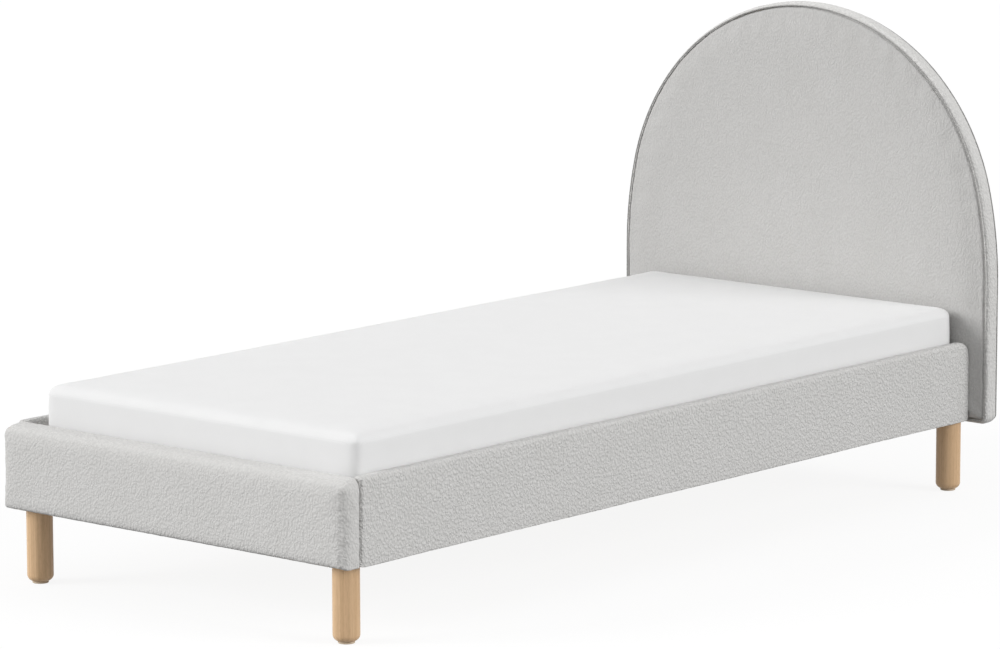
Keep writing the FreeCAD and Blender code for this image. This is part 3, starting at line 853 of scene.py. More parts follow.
@dataclass(frozen=True)
class Ticking(Finish):
    """White knitted mattress cover: fine courses and wales, with a soft quilted cloudiness."""

    white: Colour = (0.82, 0.82, 0.82)
    shade: Colour = (0.785, 0.785, 0.785)

    def mix(self, bench: Bench) -> None:
        """Two crossing waves make the stitches of the knit."""
        place = bench.place("UV")
        wales, courses = bench.wave(place, 190.0, Axis.X, 0.6), bench.wave(place, 240.0, Axis.Y, 0.6)
        knit = bench.sum(wales, courses, "MULTIPLY")
        cloud = bench.noise(place, 14.0, 3.0)
        yarn_and_hollow_shade = bench.ramp(knit, (0.0, self.shade), (0.55, self.white))
        bench.set(Base_Color=bench.tint(yarn_and_hollow_shade, cloud, 0.3, (0.985, 0.985, 0.985), 0.7), Roughness=0.85,
                  Normal=bench.bump(knit, 0.0002, bench.bump(cloud, 0.0012)), Specular_IOR_Level=0.25,
                  Sheen_Weight=0.12, Sheen_Roughness=0.4)


@dataclass(frozen=True)
class Foam(Finish):
    """Open-cell foam: pale, with fine pores."""

    pale: Colour = (0.82, 0.78, 0.62)

    def mix(self, bench: Bench) -> None:
        """Small cells shade and pit the surface."""
        pores = bench.add("TexVoronoi", {"Vector": bench.place("Object"), "Scale": 450.0}).outputs["Distance"]
        bench.set(Base_Color=bench.ramp(pores, (0.1, shaded(self.pale, 0.82)), (0.6, self.pale)),
                  Normal=bench.bump(pores, 0.0006), Roughness=1.0, Specular_IOR_Level=0.1)


@dataclass(frozen=True)
class Timber(Finish):
    """Timber with its grain along one axis: wavering growth lines, pores and a slow change of tone."""

    pale: Colour
    dark: Colour
    grain: Axis = Axis.Z
    line: float = 0.007
    rough: float = 0.5
    coat: float = 0.0

    def stretched(self, along: float, across: float) -> tuple[float, float, float]:
        """Scales of a pattern, along the grain and across it."""
        return tuple(along if axis is self.grain else across for axis in Axis)

    def mix(self, bench: Bench) -> None:
        """Growth lines, pores and tone, each stretched along the grain."""
        lines = bench.noise(bench.place("Object", self.stretched(2.2, 1 / self.line)), 1.0, 4.0, 0.6, 0.8)
        pores = bench.noise(bench.place("Object", self.stretched(60.0, 1400.0)), 1.0, 2.0, 0.6)
        tone = bench.noise(bench.place("Object", self.stretched(1.5, 12.0)), 1.0, 2.0)
        middle = tuple((p + d) / 2 for p, d in zip(self.pale, self.dark))
        wood = bench.ramp(lines, (0.30, self.dark), (0.48, middle), (0.68, self.pale))
        wood = bench.tint(wood, pores, 0.30, (0.80, 0.77, 0.73), 0.46)
        wood = bench.tint(wood, tone, 0.3, (0.92, 0.91, 0.90), 0.7)
        relief = bench.bump(pores, 0.0002, bench.bump(lines, 0.0003))
        bench.set(Base_Color=wood, Roughness=bench.level(pores, self.rough + 0.12, self.rough), Normal=relief,
                  Coat_Weight=self.coat, Coat_Roughness=0.35)


@dataclass(frozen=True)
class Plywood(Finish):
    """Plywood: veneer grain on the faces and thin plies across the thickness."""

    pale: Colour = (0.72, 0.57, 0.38)
    dark: Colour = (0.55, 0.40, 0.24)
    thick: Axis = Axis.X

    def mix(self, bench: Bench) -> None:
        """Bands across the thickness, under a grain that runs along the board."""
        plies = bench.wave(bench.place("Object"), 105.0, self.thick, 0.3)
        stretch = (3.0, 3.0 if self.thick is Axis.X else 60.0, 140.0)
        grain = bench.noise(bench.place("Object", stretch), 1.0, 4.0, 0.6, 0.6)
        wood = bench.ramp(grain, (0.3, self.dark), (0.65, self.pale))
        wood = bench.tint(wood, plies, 0.3, (0.80, 0.76, 0.70), 0.6)
        bench.set(Base_Color=wood, Roughness=0.72, Normal=bench.bump(grain, 0.0003))


@dataclass(frozen=True)
class Webbing(Finish):
    """Woven tape that spaces the slats."""

    pale: Colour = (0.66, 0.64, 0.58)

    def mix(self, bench: Bench) -> None:
        """A herringbone from two slanting waves."""
        place = bench.place("UV", turn=(0, 0, 35))
        weave = bench.sum(bench.wave(place, 150.0, Axis.X), bench.wave(place, 210.0, Axis.Y), "MULTIPLY")
        bench.set(Base_Color=bench.ramp(weave, (0.0, shaded(self.pale, 0.6)), (0.5, self.pale)),
                  Normal=bench.bump(weave, 0.0003), Roughness=0.85, Specular_IOR_Level=0.2)


@dataclass(frozen=True)
class Metal(Finish):
    """Plated or turned metal with fine scratches."""

    colour: Colour = (0.62, 0.63, 0.64)
    rough: float = 0.32

    def mix(self, bench: Bench) -> None:
        """Cloudy plating over fine brushing."""
        cloud = bench.noise(bench.place("Object"), 180.0, 3.0)
        brush = bench.noise(bench.place("Object", (900, 900, 120)), 1.0, 2.0)
        bench.set(Base_Color=bench.ramp(cloud, (0.3, shaded(self.colour, 0.8)), (0.7, self.colour)),
                  Metallic=1.0, Roughness=bench.level(cloud, self.rough - 0.06, self.rough + 0.14),
                  Normal=bench.bump(brush, 0.00005))


@dataclass(frozen=True)
class Plastic(Finish):
    """Moulded plastic with a fine spark-eroded grain."""

    colour: Colour

    def mix(self, bench: Bench) -> None:
        """A fine grain in the roughness and the relief."""
        grain = bench.noise(bench.place("Object"), 2200.0, 2.0)
        bench.set(Base_Color=bench.ramp(grain, (0.3, self.colour), (0.7, shaded(self.colour, 1.25))),
                  Roughness=bench.level(grain, 0.5, 0.65), Normal=bench.bump(grain, 0.00008))


@dataclass(frozen=True)
class StudioFloor(Finish):
    """Seamless pale floor that glows a little, as a lit table does."""

    glow: float = 0.88

    def mix(self, bench: Bench) -> None:
        """Near-white with the faintest mottle."""
        mottle = bench.noise(bench.place("Object"), 0.6, 2.0)
        bench.set(Base_Color=bench.ramp(mottle, (0.3, (0.12,) * 3), (0.7, (0.13,) * 3)), Roughness=1.0,
                  Specular_IOR_Level=0.0, Emission_Color=WHITE, Emission_Strength=self.glow)


# One bouclé cloth in four copies, made lighter or darker for how much light each part gets: painted light and
# shade. The pads' copy is darkest, the rail's and band's lightest; nub size and relief differ too.
PAD_CLOTH = Boucle("boucle_pad", "boucle", (0.50, 0.494, 0.485), (0.54, 0.534, 0.524), 0.0048,
                   0.0007, stretch=(1.25, 0.7, 1.0))
END_CLOTH = Boucle("boucle_end", "boucle", (0.595, 0.589, 0.578), (0.65, 0.643, 0.631), 0.005, 0.0009,
                   stretch=(1.0, 0.75, 1.0))
RAIL_CLOTH = Boucle("boucle_rail", "boucle", (0.61, 0.604, 0.593), (0.70, 0.693, 0.681), 0.0052, 0.0018)
BAND_CLOTH = Boucle("boucle_band", "boucle", (0.63, 0.624, 0.612), (0.705, 0.698, 0.685))
# Welt cord cloth, darkened: the cord's own cloth with painted shade of the seam groove over it.
WELT_SEAM_SHADE_CLOTH = Boucle("welt_cord_seam_shade_cloth", "welt_cloth", (0.30, 0.296, 0.289), (0.43, 0.423, 0.413), 0.0022,
                    0.0006)
TICKING = Ticking("mattress_ticking", "ticking")
FOAM = Foam("mattress_foam", "foam")
OAK = Timber("turned_oak", "oak", pale=(0.76, 0.515, 0.30), dark=(0.56, 0.36, 0.19), coat=0.15)
PINE_ALONG = Timber("pine_ledge", "pine", (0.78, 0.60, 0.39), (0.62, 0.43, 0.24), Axis.Y, 0.006, 0.6)
PINE_ACROSS = Timber("pine_slat", "pine", (0.80, 0.63, 0.42), (0.64, 0.46, 0.27), Axis.X, 0.008, 0.55)
PINE_UPRIGHT = Timber("pine_block", "pine", (0.78, 0.60, 0.39), (0.60, 0.42, 0.23), Axis.Y, 0.005, 0.6)
PLY_SIDE = Plywood("plywood_rail", "plywood", thick=Axis.X)
PLY_END = Plywood("plywood_end", "plywood", thick=Axis.Y)
WEBBING = Webbing("slat_webbing", "webbing")
ZINC = Metal("zinc_plate", "zinc_steel")
BRASS = Metal("turned_brass", "brass", (0.78, 0.58, 0.28), 0.28)
GLIDE = Plastic("glide_plastic_grain", "glide_plastic", (0.50, 0.40, 0.29))


def dress(piece: bpy.types.Object, finish: Finish, body: Body, *stands_for: str,
          fill: float | None = None) -> bpy.types.Object:
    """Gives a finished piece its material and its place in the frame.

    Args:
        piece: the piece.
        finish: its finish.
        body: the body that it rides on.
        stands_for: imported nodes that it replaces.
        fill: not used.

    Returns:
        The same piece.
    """
    piece.data.materials.clear()
    piece.data.materials.append(finish.material())
    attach(piece, body.value)
    if stands_for:
        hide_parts(*stands_for)
    log.info("%s: %d faces, %s", piece.name, len(piece.data.polygons), finish.name)
    return piece


def paint(node: bpy.types.Object, finish: Finish, ease: float = 0.0) -> None:
    """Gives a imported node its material, and takes the sharp edges off it.

    Args:
        node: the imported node.
        finish: its finish.
        ease: width of the rounding, or 0 to leave the edges as they are.
    """
    if ease:
        weld = node.modifiers.new("weld", "WELD")
        weld.merge_threshold = WELD_GAP
        bevel = node.modifiers.new("ease", "BEVEL")
        bevel.width, bevel.segments, bevel.limit_method = ease, 3, "ANGLE"
        bevel.angle_limit = math.radians(EASED_ANGLE)
        bevel.harden_normals = True
    if not node.material_slots:
        node.data.materials.append(finish.material())
    for slot in node.material_slots:
        slot.material = finish.material()
    log.info("%s keeps its packed shape, %s", node.name, finish.name)


def middle_of(node: str) -> Vector:
    """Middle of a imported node's box."""
    low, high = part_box(node)
    return (low + high) / 2


# Soft blocks ----------------------------------------------------------------------------------

@dataclass
class SoftBlock:
    """A covered block: two faces joined by a boxing that runs round them.

    The block's plan is a rectangle with rounded corners. In each corner a square of the grid is carried
    onto a quarter disc by (p·√(1 - q²/2), q·√(1 - p²/2)). Towards each side of the rim a face drops by
    r - √(r² - (r - d)²), where d is the distance from that side and r the side's edge radius, the largest
    drop counts, and its middle is raised by the crown, which fades out towards the rim. The edge radii of
    a face are those along the plan's lower side, its upper side and its two ends. The grid is closer
    together near the rim, over the largest radius times the crowded share. The boxing is drawn in by
    swell · |t|³ towards a face, where t runs from 0 in its middle to 1 at that face.
    """

    low: Array
    high: Array
    plan: tuple[Axis, Axis]
    thick: Axis
    corners: tuple[float, float, float, float]
    edges: tuple[tuple[float, float, float], tuple[float, float, float]]
    step: float = 0.014
    crowded_share: float = 1.25
    crown: tuple[float, float] = (0.0, 0.0)
    crown_reach: float = 0.05
    swell: tuple[float, float] = (0.0, 0.0)
    boxing_rows: int = 7

    def plate(self) -> tuple[Array, Array]:
        """Grid of the plan with its corners rounded, and each point's distance from the three sides."""
        first, second = (axis.value for axis in self.plan)
        edge = max(max(self.corners), *(max(radii) for radii in self.edges)) * self.crowded_share
        a = crowded(self.low[first], self.high[first], self.step, edge)
        b = crowded(self.low[second], self.high[second], self.step, edge)
        a, b = np.meshgrid(a, b, indexing="ij")
        gaps = np.stack([b - b.min(), b.max() - b, np.minimum(a - a.min(), a.max() - a)])
        for radius, right, upper in zip(self.corners, (0, 1, 1, 0), (0, 0, 1, 1)):
            centre = (a.max() - radius if right else a.min() + radius,
                      b.max() - radius if upper else b.min() + radius)
            p = (a - centre[0]) / radius * (1 if right else -1)
            q = (b - centre[1]) / radius * (1 if upper else -1)
            there = (p > 0) & (q > 0)
            p, q = np.clip(p, 0, 1), np.clip(q, 0, 1)
            new_p, new_q = p * np.sqrt(1 - q * q / 2), q * np.sqrt(1 - p * p / 2)
            a = np.where(there, centre[0] + new_p * radius * (1 if right else -1), a)
            b = np.where(there, centre[1] + new_q * radius * (1 if upper else -1), b)
        return np.stack([a, b], axis=-1), gaps

    def drop(self, gaps: Array, face: int) -> Array:
        """Depth of a face, 0 for the lower and 1 for the upper, below its highest plane.

        Args:
            gaps: distances from the lower side, the upper side and the ends.
            face: which face.

        Returns:
            One depth a point.
        """
        rolled = np.max(roll_off(gaps, np.array(self.edges[face])[:, None, None]), axis=0)
        return rolled - self.crown[face] * (1 - np.exp(-gaps.min(axis=0) / self.crown_reach))

    def drawn_in(self, plate: Array, inset: Array | float) -> Array:
        """The plan smaller by an inset on every side: middle + (point - middle) · (1 - inset / half)."""
        plan = [axis.value for axis in self.plan]
        middle, half = (self.low + self.high)[plan] / 2, (self.high - self.low)[plan] / 2
        return middle + (plate - middle) * (1 - inset / half)

    def world(self, plate: Array, level: Array | float) -> Array:
        """Points of the plan at a level of the thickness, in the bed's axes."""
        points = np.empty(plate.shape[:-1] + (3,))
        points[..., self.plan[0].value] = plate[..., 0]
        points[..., self.plan[1].value] = plate[..., 1]
        points[..., self.thick.value] = level
        return points

    def build(self, name: str) -> tuple[bpy.types.Object, float]:
        """Makes the block.

        Args:
            name: name of the piece.

        Returns:
            The piece, and the length of cloth round its boxing.
        """
        plate, gaps = self.plate()
        low, high = self.low[self.thick.value], self.high[self.thick.value]
        under, over = low + self.drop(gaps, 0), high - self.drop(gaps, 1)
        skin = Skin()
        skin.grid(self.world(self.drawn_in(plate, self.swell[0]), under), plate, gaps.min(axis=0))
        skin.grid(self.world(self.drawn_in(plate, self.swell[1]), over), plate, gaps.min(axis=0))
        rim = perimeter(plate)
        length = lengths_along(looped(rim))
        turn = float(length[-1])
        share = np.linspace(0, 1, self.boxing_rows)[:, None]
        level = perimeter(under) * (1 - share) + perimeter(over) * share
        inset = np.where(share < 0.5, *self.swell) * np.abs(2 * share - 1) ** 3
        points = self.world(self.drawn_in(rim[None], inset[..., None]), level)
        cloth = np.stack(np.broadcast_arrays(level, length[None, :-1]), axis=-1)
        seam = np.minimum(level - level[0], level[-1] - level)
        skin.grid(points, cloth, seam, loop_columns=turn)
        return skin.build(name), turn


# Sub-assemblies -------------------------------------------------------------------------------

@dataclass(frozen=True)
class Arch:
    """Outline of the headboard: flat foot, rounded lower corners, upright sides and a three-centred arch."""

    half: float
    low: float
    top: float
    side_radius: float
    crown_radius: float
    foot_radius: float

    def rim(self, inset: float, count: int, crowd: float = 0.03) -> Array:
        """Closed path at an even distance inside the outline.

        From the middle of the foot: straight to the lower corner, a quarter circle, straight up to the
        spring, an arc of the side radius about a centre level with the spring, and an arc of the crown
        radius about a centre on the middle line where both meet. The other half is its mirror image. An
        inset shortens every radius by itself.

        Args:
            inset: distance inside the outline; less than 0 is outside it.
            count: number of points.
            crowd: how closely the points gather on bends.

        Returns:
            Points of X and Z, counter-clockwise seen from the footboard.
        """
        gap = self.side_radius - self.crown_radius
        reach = self.side_radius - self.half
        rise = math.sqrt(gap**2 - reach**2)
        centre = self.top - self.crown_radius
        spring, lean = centre - rise, math.degrees(math.atan2(rise, reach))
        half, low, foot = self.half - inset, self.low + inset, max(self.foot_radius - inset, 0.001)
        right = np.concatenate([
            np.linspace([0.0, low], [half - foot, low], 60)[:-1],
            arc((half - foot, low + foot), foot, -90, 0)[:-1],
            np.linspace([half, low + foot], [half, spring], 60)[:-1],
            arc((self.half - self.side_radius, spring), self.side_radius - inset, 0, lean, 60)[:-1],
            arc((0.0, centre), self.crown_radius - inset, lean, 90, 400),
        ])
        return respace(np.concatenate([right, right[-2::-1] * (-1, 1)]), count, crowd, closed=True)


@dataclass
class Headboard:
    """Arched headboard: a panel between two pads, with a sewn band and two welts round its edge."""

    seam_gap: float = 0.0033
    side_radius: float = 0.905
    crown_inset: float = 0.0105
    foot_radius: float = 0.014
    pad_edge: float = 0.0045
    pad_crown: float = 0.0025
    pad_crown_reach: float = 0.045
    pad_stapled: float = 0.0035
    pad_points: int = 256
    band_clearance: float = 0.0003
    band_rows: int = 17
    band_gather: float = 0.75
    band_steps: int = 900
    welt_radius: float = 0.0013
    welt_shift: float = 0.0004
    welt_steps: int = 1100
    front_welt_depth: float = 0.0010
    back_welt_depth: float = -0.0012
    rim_crowd: float = 0.01
    pad_tailoring: Tailoring = Tailoring(pucker=0.0006, seed=11)
    band_tailoring: Tailoring = Tailoring(slub=0.0003, slub_cell=(0.008, 0.014), wave=0.0004,
                                          wave_cell=0.09, seed=21)
    welt_tailoring: Tailoring = Tailoring(slub=0.00012, slub_cell=(0.003, 0.0045), wave=0.0001,
                                          wave_cell=0.03, seed=31)

    def __post_init__(self) -> None:
        """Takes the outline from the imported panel."""
        low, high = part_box("headboard_panel")
        half = high.x + self.seam_gap
        self.arch = Arch(half, low.z - self.seam_gap, high.z + self.seam_gap, self.side_radius,
                         half - self.crown_inset, self.foot_radius)

    def pad(self, node: str, face: float, root: float) -> None:
        """A pad from its stapled root to its face.

        The face is a filled rim that rolls off by a quarter circle and rises from -crown / 2 by
        crown · (1 - e^(-d/reach)), where d is the distance from the rim.

        Args:
            node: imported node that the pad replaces, which gives its name.
            face: Y of the face.
            root: Y of the side against the panel.
        """
        centre = (self.arch.low + self.arch.top) / 2
        grid, gap = fill_rim(self.arch.rim(self.seam_gap, self.pad_points), (0.0, centre))
        outwards = 1.0 if face > root else -1.0
        rise = self.pad_crown * (1 - np.exp(-gap / self.pad_crown_reach)) - self.pad_crown / 2
        y = face + outwards * (rise - roll_off(gap, self.pad_edge))
        points = np.stack([grid[..., 0], y, grid[..., 1]], axis=-1)
        skin = Skin()
        skin.grid(points, grid, gap)
        shoulder = perimeter(points)
        level = np.linspace(0, 1, 4)[:, None, None]
        back = shoulder.copy()
        back[:, 1] = root
        sides = shoulder[None] * (1 - level) + back[None] * level
        skin.grid(sides, sides[..., [0, 2]], 0.0, loop_columns=UNLAID)
        piece = skin.build(node + "_cloth", inside=np.array([0.0, root, centre]))
        stapled = np.abs(coordinates(piece.data)[:, 1] - root) < self.pad_stapled
        Stuffing(pressure=3.0, reach=0.003).fill(piece, stapled)
        subdivide(piece, 2)
        self.pad_tailoring.work(piece)
        close_back(piece)
        dress(piece, PAD_CLOTH, Body.FRAME, node, fill=0.9)

    def band(self) -> None:
        """Boxing band: a crowned section carried round the rim.

        The section's outer side stands √(1 - t⁴) of its thickness above its root, where t runs from -1
        to 1 across the band. The steps of t are even ones raised to the power gather, which brings them
        closer at the ends. The inner side is flat.
        """
        low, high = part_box("headboard_side_band")
        top, root = high.x - self.arch.half, self.band_clearance - self.seam_gap
        t = np.linspace(-1, 1, self.band_rows)
        t = np.sign(t) * np.abs(t) ** self.band_gather
        lift = root + (top - root) * np.sqrt(1 - t**4)
        middle, half = (low.y + high.y) / 2, (high.y - low.y) / 2
        inner = np.linspace(high.y, low.y, 7)[1:-1]
        section = np.concatenate([np.column_stack([lift, middle + half * t]),
                                  np.column_stack([np.full(len(inner), root), inner])])
        piece, turn = self.carried("headboard_side_band_cloth", section, self.band_steps)
        subdivide(piece, 1)
        self.band_tailoring.work(piece, turn)
        dress(piece, BAND_CLOTH, Body.FRAME, "headboard_side_band", fill=0.9)

    def welt(self, node: str, depth: float) -> None:
        """Welt cord in a seam: a round section whose radius swells and shrinks a little along its length.

        Args:
            node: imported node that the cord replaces, which gives its name.
            depth: how far its middle lies below the rim; less than 0 is above it.
        """
        angle = angles_round(12)
        middle = middle_of(node).y
        middle += self.welt_shift if middle < middle_of("headboard_panel").y else -self.welt_shift
        section = np.column_stack([self.welt_radius * np.cos(angle) - depth,
                                   middle - self.welt_radius * np.sin(angle)])
        piece, turn = self.carried(node + "_cord", section, self.welt_steps)
        self.welt_tailoring.work(piece, turn)
        # The cord's cloth is darkened as painted shade of the seam groove.
        dress(piece, WELT_SEAM_SHADE_CLOTH, Body.FRAME, node, fill=1.0)

    def carried(self, name: str, section: Array, count: int) -> tuple[bpy.types.Object, float]:
        """A closed section carried round the rim.

        Each point = the rim's point + its outward normal · the section's height, at the section's Y.

        Args:
            name: name of the piece.
            section: points of height above the rim and Y.
            count: number of steps round the rim.

        Returns:
            The piece, and the length of cloth round it.
        """
        rim = self.arch.rim(0.0, count, self.rim_crowd)
        normal = outward(rim)
        flat = rim[:, None] + normal[:, None] * section[None, :, :1]
        y = np.broadcast_to(section[None, :, 1], flat.shape[:2])
        points = np.stack([flat[..., 0], y, flat[..., 1]], axis=-1)
        length, round_section = lengths_along(looped(rim)), lengths_along(looped(section))
        turn = float(length[-1])
        cloth = np.stack(np.broadcast_arrays(round_section[None, :-1], length[:-1, None]), axis=-1)
        skin = Skin()
        skin.grid(np.swapaxes(points, 0, 1), np.swapaxes(cloth, 0, 1), 1.0,
                  loop_rows=float(round_section[-1]), loop_columns=turn)
        return skin.build(name), turn

    def build(self) -> None:
        """Makes the pads, the band and the welts."""
        low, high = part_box("headboard_panel")
        self.pad("headboard_front_pad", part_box("headboard_front_pad")[0].y, low.y)
        self.pad("headboard_back_pad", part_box("headboard_back_pad")[1].y, high.y)
        self.band()
        self.welt("headboard_front_welt", self.front_welt_depth)
        self.welt("headboard_back_welt", self.back_welt_depth)


@dataclass
class Footboard:
    """Low upholstered footboard, whose cloth rolls over the top and is sewn down the ends in front."""

    shoulder: float = 0.022
    foot: float = 0.004
    front_edges: tuple[float, float, float] = (0.0025, 0.010, 0.003)
    back_edges: tuple[float, float, float] = (0.0025, 0.005, 0.005)
    swell: tuple[float, float] = (0.0055, 0.0)
    crown: float = 0.0015
    stapled_back: float = 0.008
    stapled_foot: float = 0.01
    tailoring: Tailoring = Tailoring(slub=0.0004, slub_cell=(0.007, 0.012), groove=0.0022,
                                     groove_width=0.0042, pucker=0.0009, pucker_cell=0.012,
                                     pucker_reach=0.03, seed=41)

    def build(self) -> None:
        """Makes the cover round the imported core.

        The distance from the sewn edges is √(x² + y²), with x measured from the end and y from the nearer
        seam's plane, so that the groove fades out where the edge turns over the top.
        """
        low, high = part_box("footboard_cover")
        block = SoftBlock(np.array(low), np.array(high), (Axis.X, Axis.Z), Axis.Y,
                          (self.foot, self.foot, self.shoulder, self.shoulder),
                          (self.front_edges, self.back_edges), crown=(self.crown, 0.0), swell=self.swell)
        piece, turn = block.build("footboard_cover_cloth")
        points = coordinates(piece.data)
        from_end = high.x - self.swell[0] - np.abs(points[:, 0])
        to_seam = np.minimum(points[:, 1] - (low.y + self.front_edges[2]), high.y - points[:, 1])
        seam = np.hypot(np.maximum(from_end, 0), to_seam)
        piece.data.attributes["seam"].data.foreach_set("value", seam.astype(np.float32))
        back, foot = high.y - self.stapled_back, low.z + self.stapled_foot
        Stuffing(reach=0.0025).fill(piece, (points[:, 1] > back) | (points[:, 2] < foot))
        subdivide(piece, 2)
        self.tailoring.work(piece, turn)
        dress(piece, END_CLOTH, Body.FRAME, "footboard_cover", fill=0.9)


@dataclass
class SideRail:
    """Upholstered side rail: a padded cover round its board, returned and stapled on the inner side."""

    side: Side
    edge: float = 0.007
    lower_edge: float = 0.0025
    end_corner: float = 0.03
    cap_edge: float = 0.005
    cap_depth: float = 0.0003
    cap_points: int = 64
    board_edge: float = 0.001
    crown: float = 0.0012
    section_points: int = 62
    outer_crowd: float = 0.012
    inner_crowd: float = 0.004
    step: float = 0.011
    end_step: float = 0.0015
    end_reach: float = 0.06
    fall_from: float = 0.05
    fall_to: float = 0.012
    tailoring: Tailoring = Tailoring(slub=0.0003, wave=0.0006, wave_cell=0.16, groove=0.0015,
                                     groove_width=0.005, pucker=0.0007, pucker_cell=0.011,
                                     pucker_reach=0.02, seed=51)

    def section(self) -> tuple[Array, Array]:
        """The cover's section as two paths of distance inwards and Z: outer side and side on the board.

        The outer path runs from the lower return's raw edge round the outside to the upper return's.
        """
        low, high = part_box(f"rail_cover_{self.side.word}")
        board_low, board_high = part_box(f"rail_board_{self.side.word}")
        width = high.x - low.x
        inner_gap = min(abs(board_low.x - low.x), abs(high.x - board_high.x))
        outer_gap = width - inner_gap - (board_high.x - board_low.x)
        back = width - inner_gap
        lower, upper = low.z + self.end_corner, high.z - self.end_corner
        outer = np.array([[width, lower], [width, low.z], [0, low.z], [0, high.z], [width, high.z],
                          [width, upper]])
        board = np.array([[back, lower], [back, board_low.z], [outer_gap, board_low.z],
                          [outer_gap, board_high.z], [back, board_high.z], [back, upper]])
        edges = np.array([0, self.lower_edge, self.lower_edge, self.edge, self.edge, 0])
        board_edges = np.full(len(board), self.board_edge)
        return (respace(rounded(outer, edges), self.section_points, self.outer_crowd),
                respace(rounded(board, board_edges), self.section_points, self.inner_crowd))

    def build(self) -> None:
        """Carries the section along the rail and closes its ends.

        Near an end the outer path is drawn in by r - √(r² - (r - d)²), where d is the distance from the
        end, and at the headboard the upper part is lowered by the same rule with the corner's radius.
        The outer face is crowned by crown · (1 - |2 · h - 1|⁴), where h runs from 0 to 1 up the rail.
        """
        low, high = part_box(f"rail_cover_{self.side.word}")
        outer, inner = self.section()
        y = crowded(low.y, high.y, self.step, self.end_reach, self.end_step)
        tuck = roll_off(np.minimum(y - low.y, high.y - y), self.cap_edge)
        fall = roll_off(high.y - y, self.end_corner)
        normal = outward(outer, closed=False)
        if np.mean(normal[:, 0] * (outer[:, 0] - outer[:, 0].mean())) < 0:
            normal = -normal
        height = (outer[:, 1] - outer[:, 1].min()) / np.ptp(outer[:, 1])
        on_face = outer[:, 0] < 0.0005
        swell = np.where(on_face, self.crown * (1 - np.abs(2 * height - 1) ** 4), 0.0)
        shifted = outer[None] - normal[None] * (tuck[:, None] - swell[None])[..., None]
        outer_x = abs(low.x if self.side is Side.LEFT else high.x)
        start, span = low.z + self.fall_from, high.z - self.fall_to - low.z - self.fall_from
        sheets = []
        for path in (shifted, np.broadcast_to(inner[None], shifted.shape)):
            z = path[..., 1] - fall[:, None] * np.clip((path[..., 1] - start) / span, 0, 1)
            x = self.side.value * (outer_x - path[..., 0])
            sheets.append(np.stack([x, np.broadcast_to(y[:, None], x.shape), z], axis=-1))
        outside, inside = sheets
        cloth = np.stack(np.broadcast_arrays(y[:, None], lengths_along(outer)[None]), axis=-1)
        skin = Skin()
        skin.grid(outside, cloth, np.broadcast_to((y - low.y)[:, None], outside.shape[:2]))
        skin.grid(inside, cloth, 1.0)
        for column in (0, -1):
            skin.grid(np.stack([outside[:, column], inside[:, column]]), np.stack([cloth[:, column]] * 2))
        for row in (0, -1):
            skin.grid(np.stack([outside[row], inside[row]]), np.stack([cloth[row]] * 2))
        self.cap(skin, inside[0], low.y + self.cap_depth)
        piece = skin.build(f"rail_cover_{self.side.word}_cloth")
        subdivide(piece, 1)
        replace(self.tailoring, seed=self.tailoring.seed + self.side.value).work(piece)
        dress(piece, RAIL_CLOTH, Body.FRAME, f"rail_cover_{self.side.word}", fill=0.8)

    def cap(self, skin: Skin, path: Array, y: float) -> None:
        """Cloth across the board's end in the joint with the footboard, a closed thin plate.

        Args:
            skin: the cover that it is added to.
            path: the cover's section on the board, at this end.
            y: Y of the plate's outer face.
        """
        board_low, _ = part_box(f"rail_board_{self.side.word}")
        rim = respace(path[:, [0, 2]], self.cap_points, closed=True)
        grid, _ = fill_rim(rim, tuple((rim.min(axis=0) + rim.max(axis=0)) / 2))
        faces = [np.stack([grid[..., 0], np.full(grid.shape[:2], level), grid[..., 1]], axis=-1)
                 for level in (y, board_low.y - self.cap_depth)]
        for face in faces:
            skin.grid(face, grid, 1.0)
        sides = np.stack([perimeter(face) for face in faces])
        skin.grid(sides, sides[..., [0, 2]], 1.0, loop_columns=UNLAID)


@dataclass
class Mattress:
    """Foam mattress in a white knitted cover, eased at its edges and a little fuller in the middle.

    It lies in its clear space a little towards the right rail, and its quilted top stands a loft proud.
    """

    corner: float = 0.024
    edge: float = 0.019
    lower_edge: float = 0.010
    crown: float = 0.005
    crown_reach: float = 0.045
    swell: float = 0.001
    cover: float = 0.005
    foam_edge: float = 0.012
    foam_lower_edge: float = 0.008
    loft: float = 0.0095
    lay: tuple[float, float, float] = (0.010, 0.005, 0.0)
    held: float = 0.004
    tailoring: Tailoring = Tailoring(slub=0.00005, wave=0.0006, wave_cell=0.22, seed=61)

    def build(self) -> None:
        """Makes the cover and the foam inside it."""
        low, high = (np.array(corner) + self.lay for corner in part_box("mattress_cover"))
        high[2] += self.loft
        block = SoftBlock(low, high, (Axis.X, Axis.Y), Axis.Z, (self.corner,) * 4,
                          ((self.lower_edge,) * 3, (self.edge,) * 3), step=0.03, crown=(0.0, self.crown),
                          crown_reach=self.crown_reach, swell=(self.swell,) * 2, boxing_rows=8)
        piece, turn = block.build("mattress_cover_ticking")
        Stuffing(reach=0.002).fill(piece, coordinates(piece.data)[:, 2] < low[2] + self.held)
        subdivide(piece, 2)
        self.tailoring.work(piece, turn)
        dress(piece, TICKING, Body.MATTRESS, "mattress_cover", fill=0.85)
        core = SoftBlock(low + self.cover, high - self.cover, (Axis.X, Axis.Y), Axis.Z,
                         (self.corner - self.cover,) * 4,
                         ((self.foam_lower_edge,) * 3, (self.foam_edge,) * 3), step=0.12, boxing_rows=4)
        foam, _ = core.build("mattress_core_foam")
        dress(foam, FOAM, Body.MATTRESS, "mattress_core", fill=1.0)


